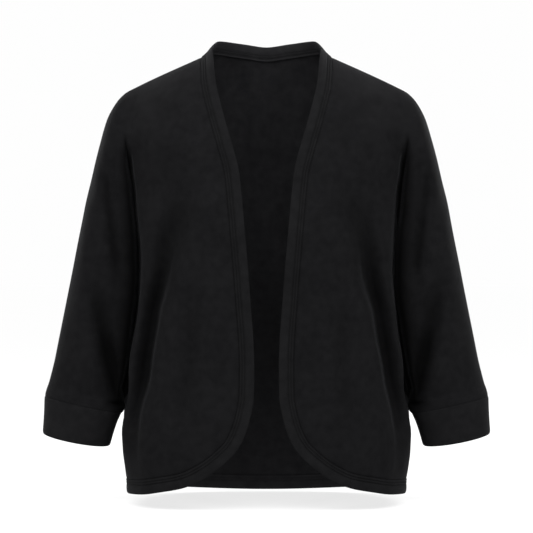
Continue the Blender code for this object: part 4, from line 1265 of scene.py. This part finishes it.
def cuff_halves(front, back, shares):
    """Rings of the cuff from its seam to its free edge."""
    end = CUFF_END
    inner = end["inner"] + CUFF_CLOTH
    outer = end["outer"] - CUFF_CLOTH
    middle = float(table_value(ARM_LINE, end["inner_height"]))
    depth = end["depth"] - CUFF_CLOTH
    heights = (end["inner_height"], end["outer_height"])
    rings = []
    for share in shares:
        ring = []
        for panel, order in ((front, 1), (back, -1)):
            start = panel["sleeve"][-1]
            places = panel["places"][panel["valley"]:] - panel["places"][panel["valley"]]
            finish = sleeve_ring(panel["face"], inner, outer, depth, middle, heights, places)
            finish[:, 2] += CUFF_DIP * (finish[:, 1] - middle)
            points = mix(start, finish, share)
            across = (start[:, 0] - start[0, 0]) / (start[-1, 0] - start[0, 0])
            curve = mix(CUFF_CURVE_INNER, CUFF_CURVE_OUTER, np.clip(across, 0, 1)[:, None])
            points[:, :2] = mix(start[:, :2], finish[:, :2], share ** curve)
            ring.append(points[1:] if order > 0 else points[::-1][1:])
        rings.append(np.vstack(ring))
    return np.array(rings)


def make_cuffs(front, back, materials):
    """Both cuffs, each a folded tube round the end of its sleeve."""
    made = {}
    depth = abs(CUFF_END["outer_height"] - CUFF_SEAM_OUTER_HEIGHT)
    section = [(share * depth, outer, inner) for share, outer, inner in CUFF_SECTION]
    for side, name in SIDES:
        rings = turned(cuff_halves(front, back, [s[0] for s in CUFF_SECTION]), side)
        away = unit(rings - rings.mean(axis=1, keepdims=True))
        wrapped = np.concatenate([rings[:, -1:], rings, rings[:, :1]], axis=1)
        across = np.gradient(wrapped, axis=0)
        run = np.gradient(wrapped, axis=1)
        normals = unit(np.cross(across, run))[:, 1:-1]
        normals *= np.sign(np.sum(normals * away))
        piece = "cuff_" + name
        made[piece] = folded_object(piece + "_jersey", rings, normals, section, True, materials)
    return made


def make_camera():
    lens = bpy.data.cameras.new("camera")
    lens.sensor_width = SENSOR
    lens.lens = SENSOR * CAMERA_DISTANCE / (PHOTO_SIZE * PIXEL)
    camera = bpy.data.objects.new("camera", lens)
    camera.location = (0.0, -CAMERA_DISTANCE * MM, CAMERA_HEIGHT * MM)
    camera.rotation_euler = (math.radians(90.0), 0.0, 0.0)
    bpy.context.scene.collection.objects.link(camera)
    bpy.context.scene.camera = camera


def area_light(name, place, size, power):
    lamp = bpy.data.lights.new(name, "AREA")
    lamp.shape = "RECTANGLE"
    lamp.size, lamp.size_y = size
    lamp.energy = power
    thing = bpy.data.objects.new(name, lamp)
    thing.location = place
    thing.rotation_euler = (Vector(LIGHT_TARGET) - Vector(place)).to_track_quat("-Z", "Y").to_euler()
    bpy.context.scene.collection.objects.link(thing)


def make_floor(height):
    """A pale, evenly lit floor."""
    mesh = bpy.data.meshes.new("floor")
    corners = [(x * FLOOR_HALF, y * FLOOR_HALF, height) for x, y in ((-1, -1), (1, -1), (1, 1), (-1, 1))]
    mesh.from_pydata(corners, [], [(0, 1, 2, 3)])
    floor = bpy.data.objects.new("floor", mesh)
    graph = Graph("floor")
    graph.feed(graph.shader, FLOOR_SHADER)
    mesh.materials.append(graph.material)
    bpy.context.scene.collection.objects.link(floor)


def make_studio(low):
    """White surroundings, soft lights and a pale floor just under the hem."""
    world = bpy.data.worlds.new("studio")
    bpy.context.scene.world = world
    world.use_nodes = True
    background = world.node_tree.nodes["Background"]
    background.inputs["Color"].default_value = SURROUNDINGS["colour"]
    background.inputs["Strength"].default_value = SURROUNDINGS["strength"]
    for light in LIGHTS:
        area_light(*light)
    make_floor(low - FLOOR_BELOW)
    bpy.context.scene.view_settings.view_transform = "Standard"


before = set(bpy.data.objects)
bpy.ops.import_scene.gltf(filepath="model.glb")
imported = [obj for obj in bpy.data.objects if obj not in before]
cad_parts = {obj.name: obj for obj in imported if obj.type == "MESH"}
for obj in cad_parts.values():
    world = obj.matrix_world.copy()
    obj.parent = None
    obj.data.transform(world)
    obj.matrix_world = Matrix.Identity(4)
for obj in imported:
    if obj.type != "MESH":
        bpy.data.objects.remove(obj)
cad_low, cad_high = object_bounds()

cloths = {row[0]: jersey(**dict(zip(CLOTH_COLUMNS, row))) for row in CLOTHS}
# The reverse faces take lighter copies of the jersey: painted light inside the garment.
panel_cloths = (cloths["panel_jersey"], cloths["reverse_jersey"])
band_cloths = (cloths["band_jersey"], cloths["band_reverse"])
black_thread = thread()

front_half = half_panel("front")
back_half = half_panel("back")

shells = {
    "front_left": panel_object("front_left_jersey", front_half, (1,), panel_cloths),
    "front_right": panel_object("front_right_jersey", front_half, (-1,), panel_cloths),
    "back": panel_object("back_jersey", back_half, (1, -1), panel_cloths),
}
shells.update(make_bands(front_half, back_half, band_cloths, black_thread))
shells.update(make_cuffs(front_half, back_half, band_cloths))

for node, piece in shells.items():
    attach(piece, "root")
    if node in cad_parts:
        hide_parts(node)

make_camera()
make_studio(float(cad_low[2]))
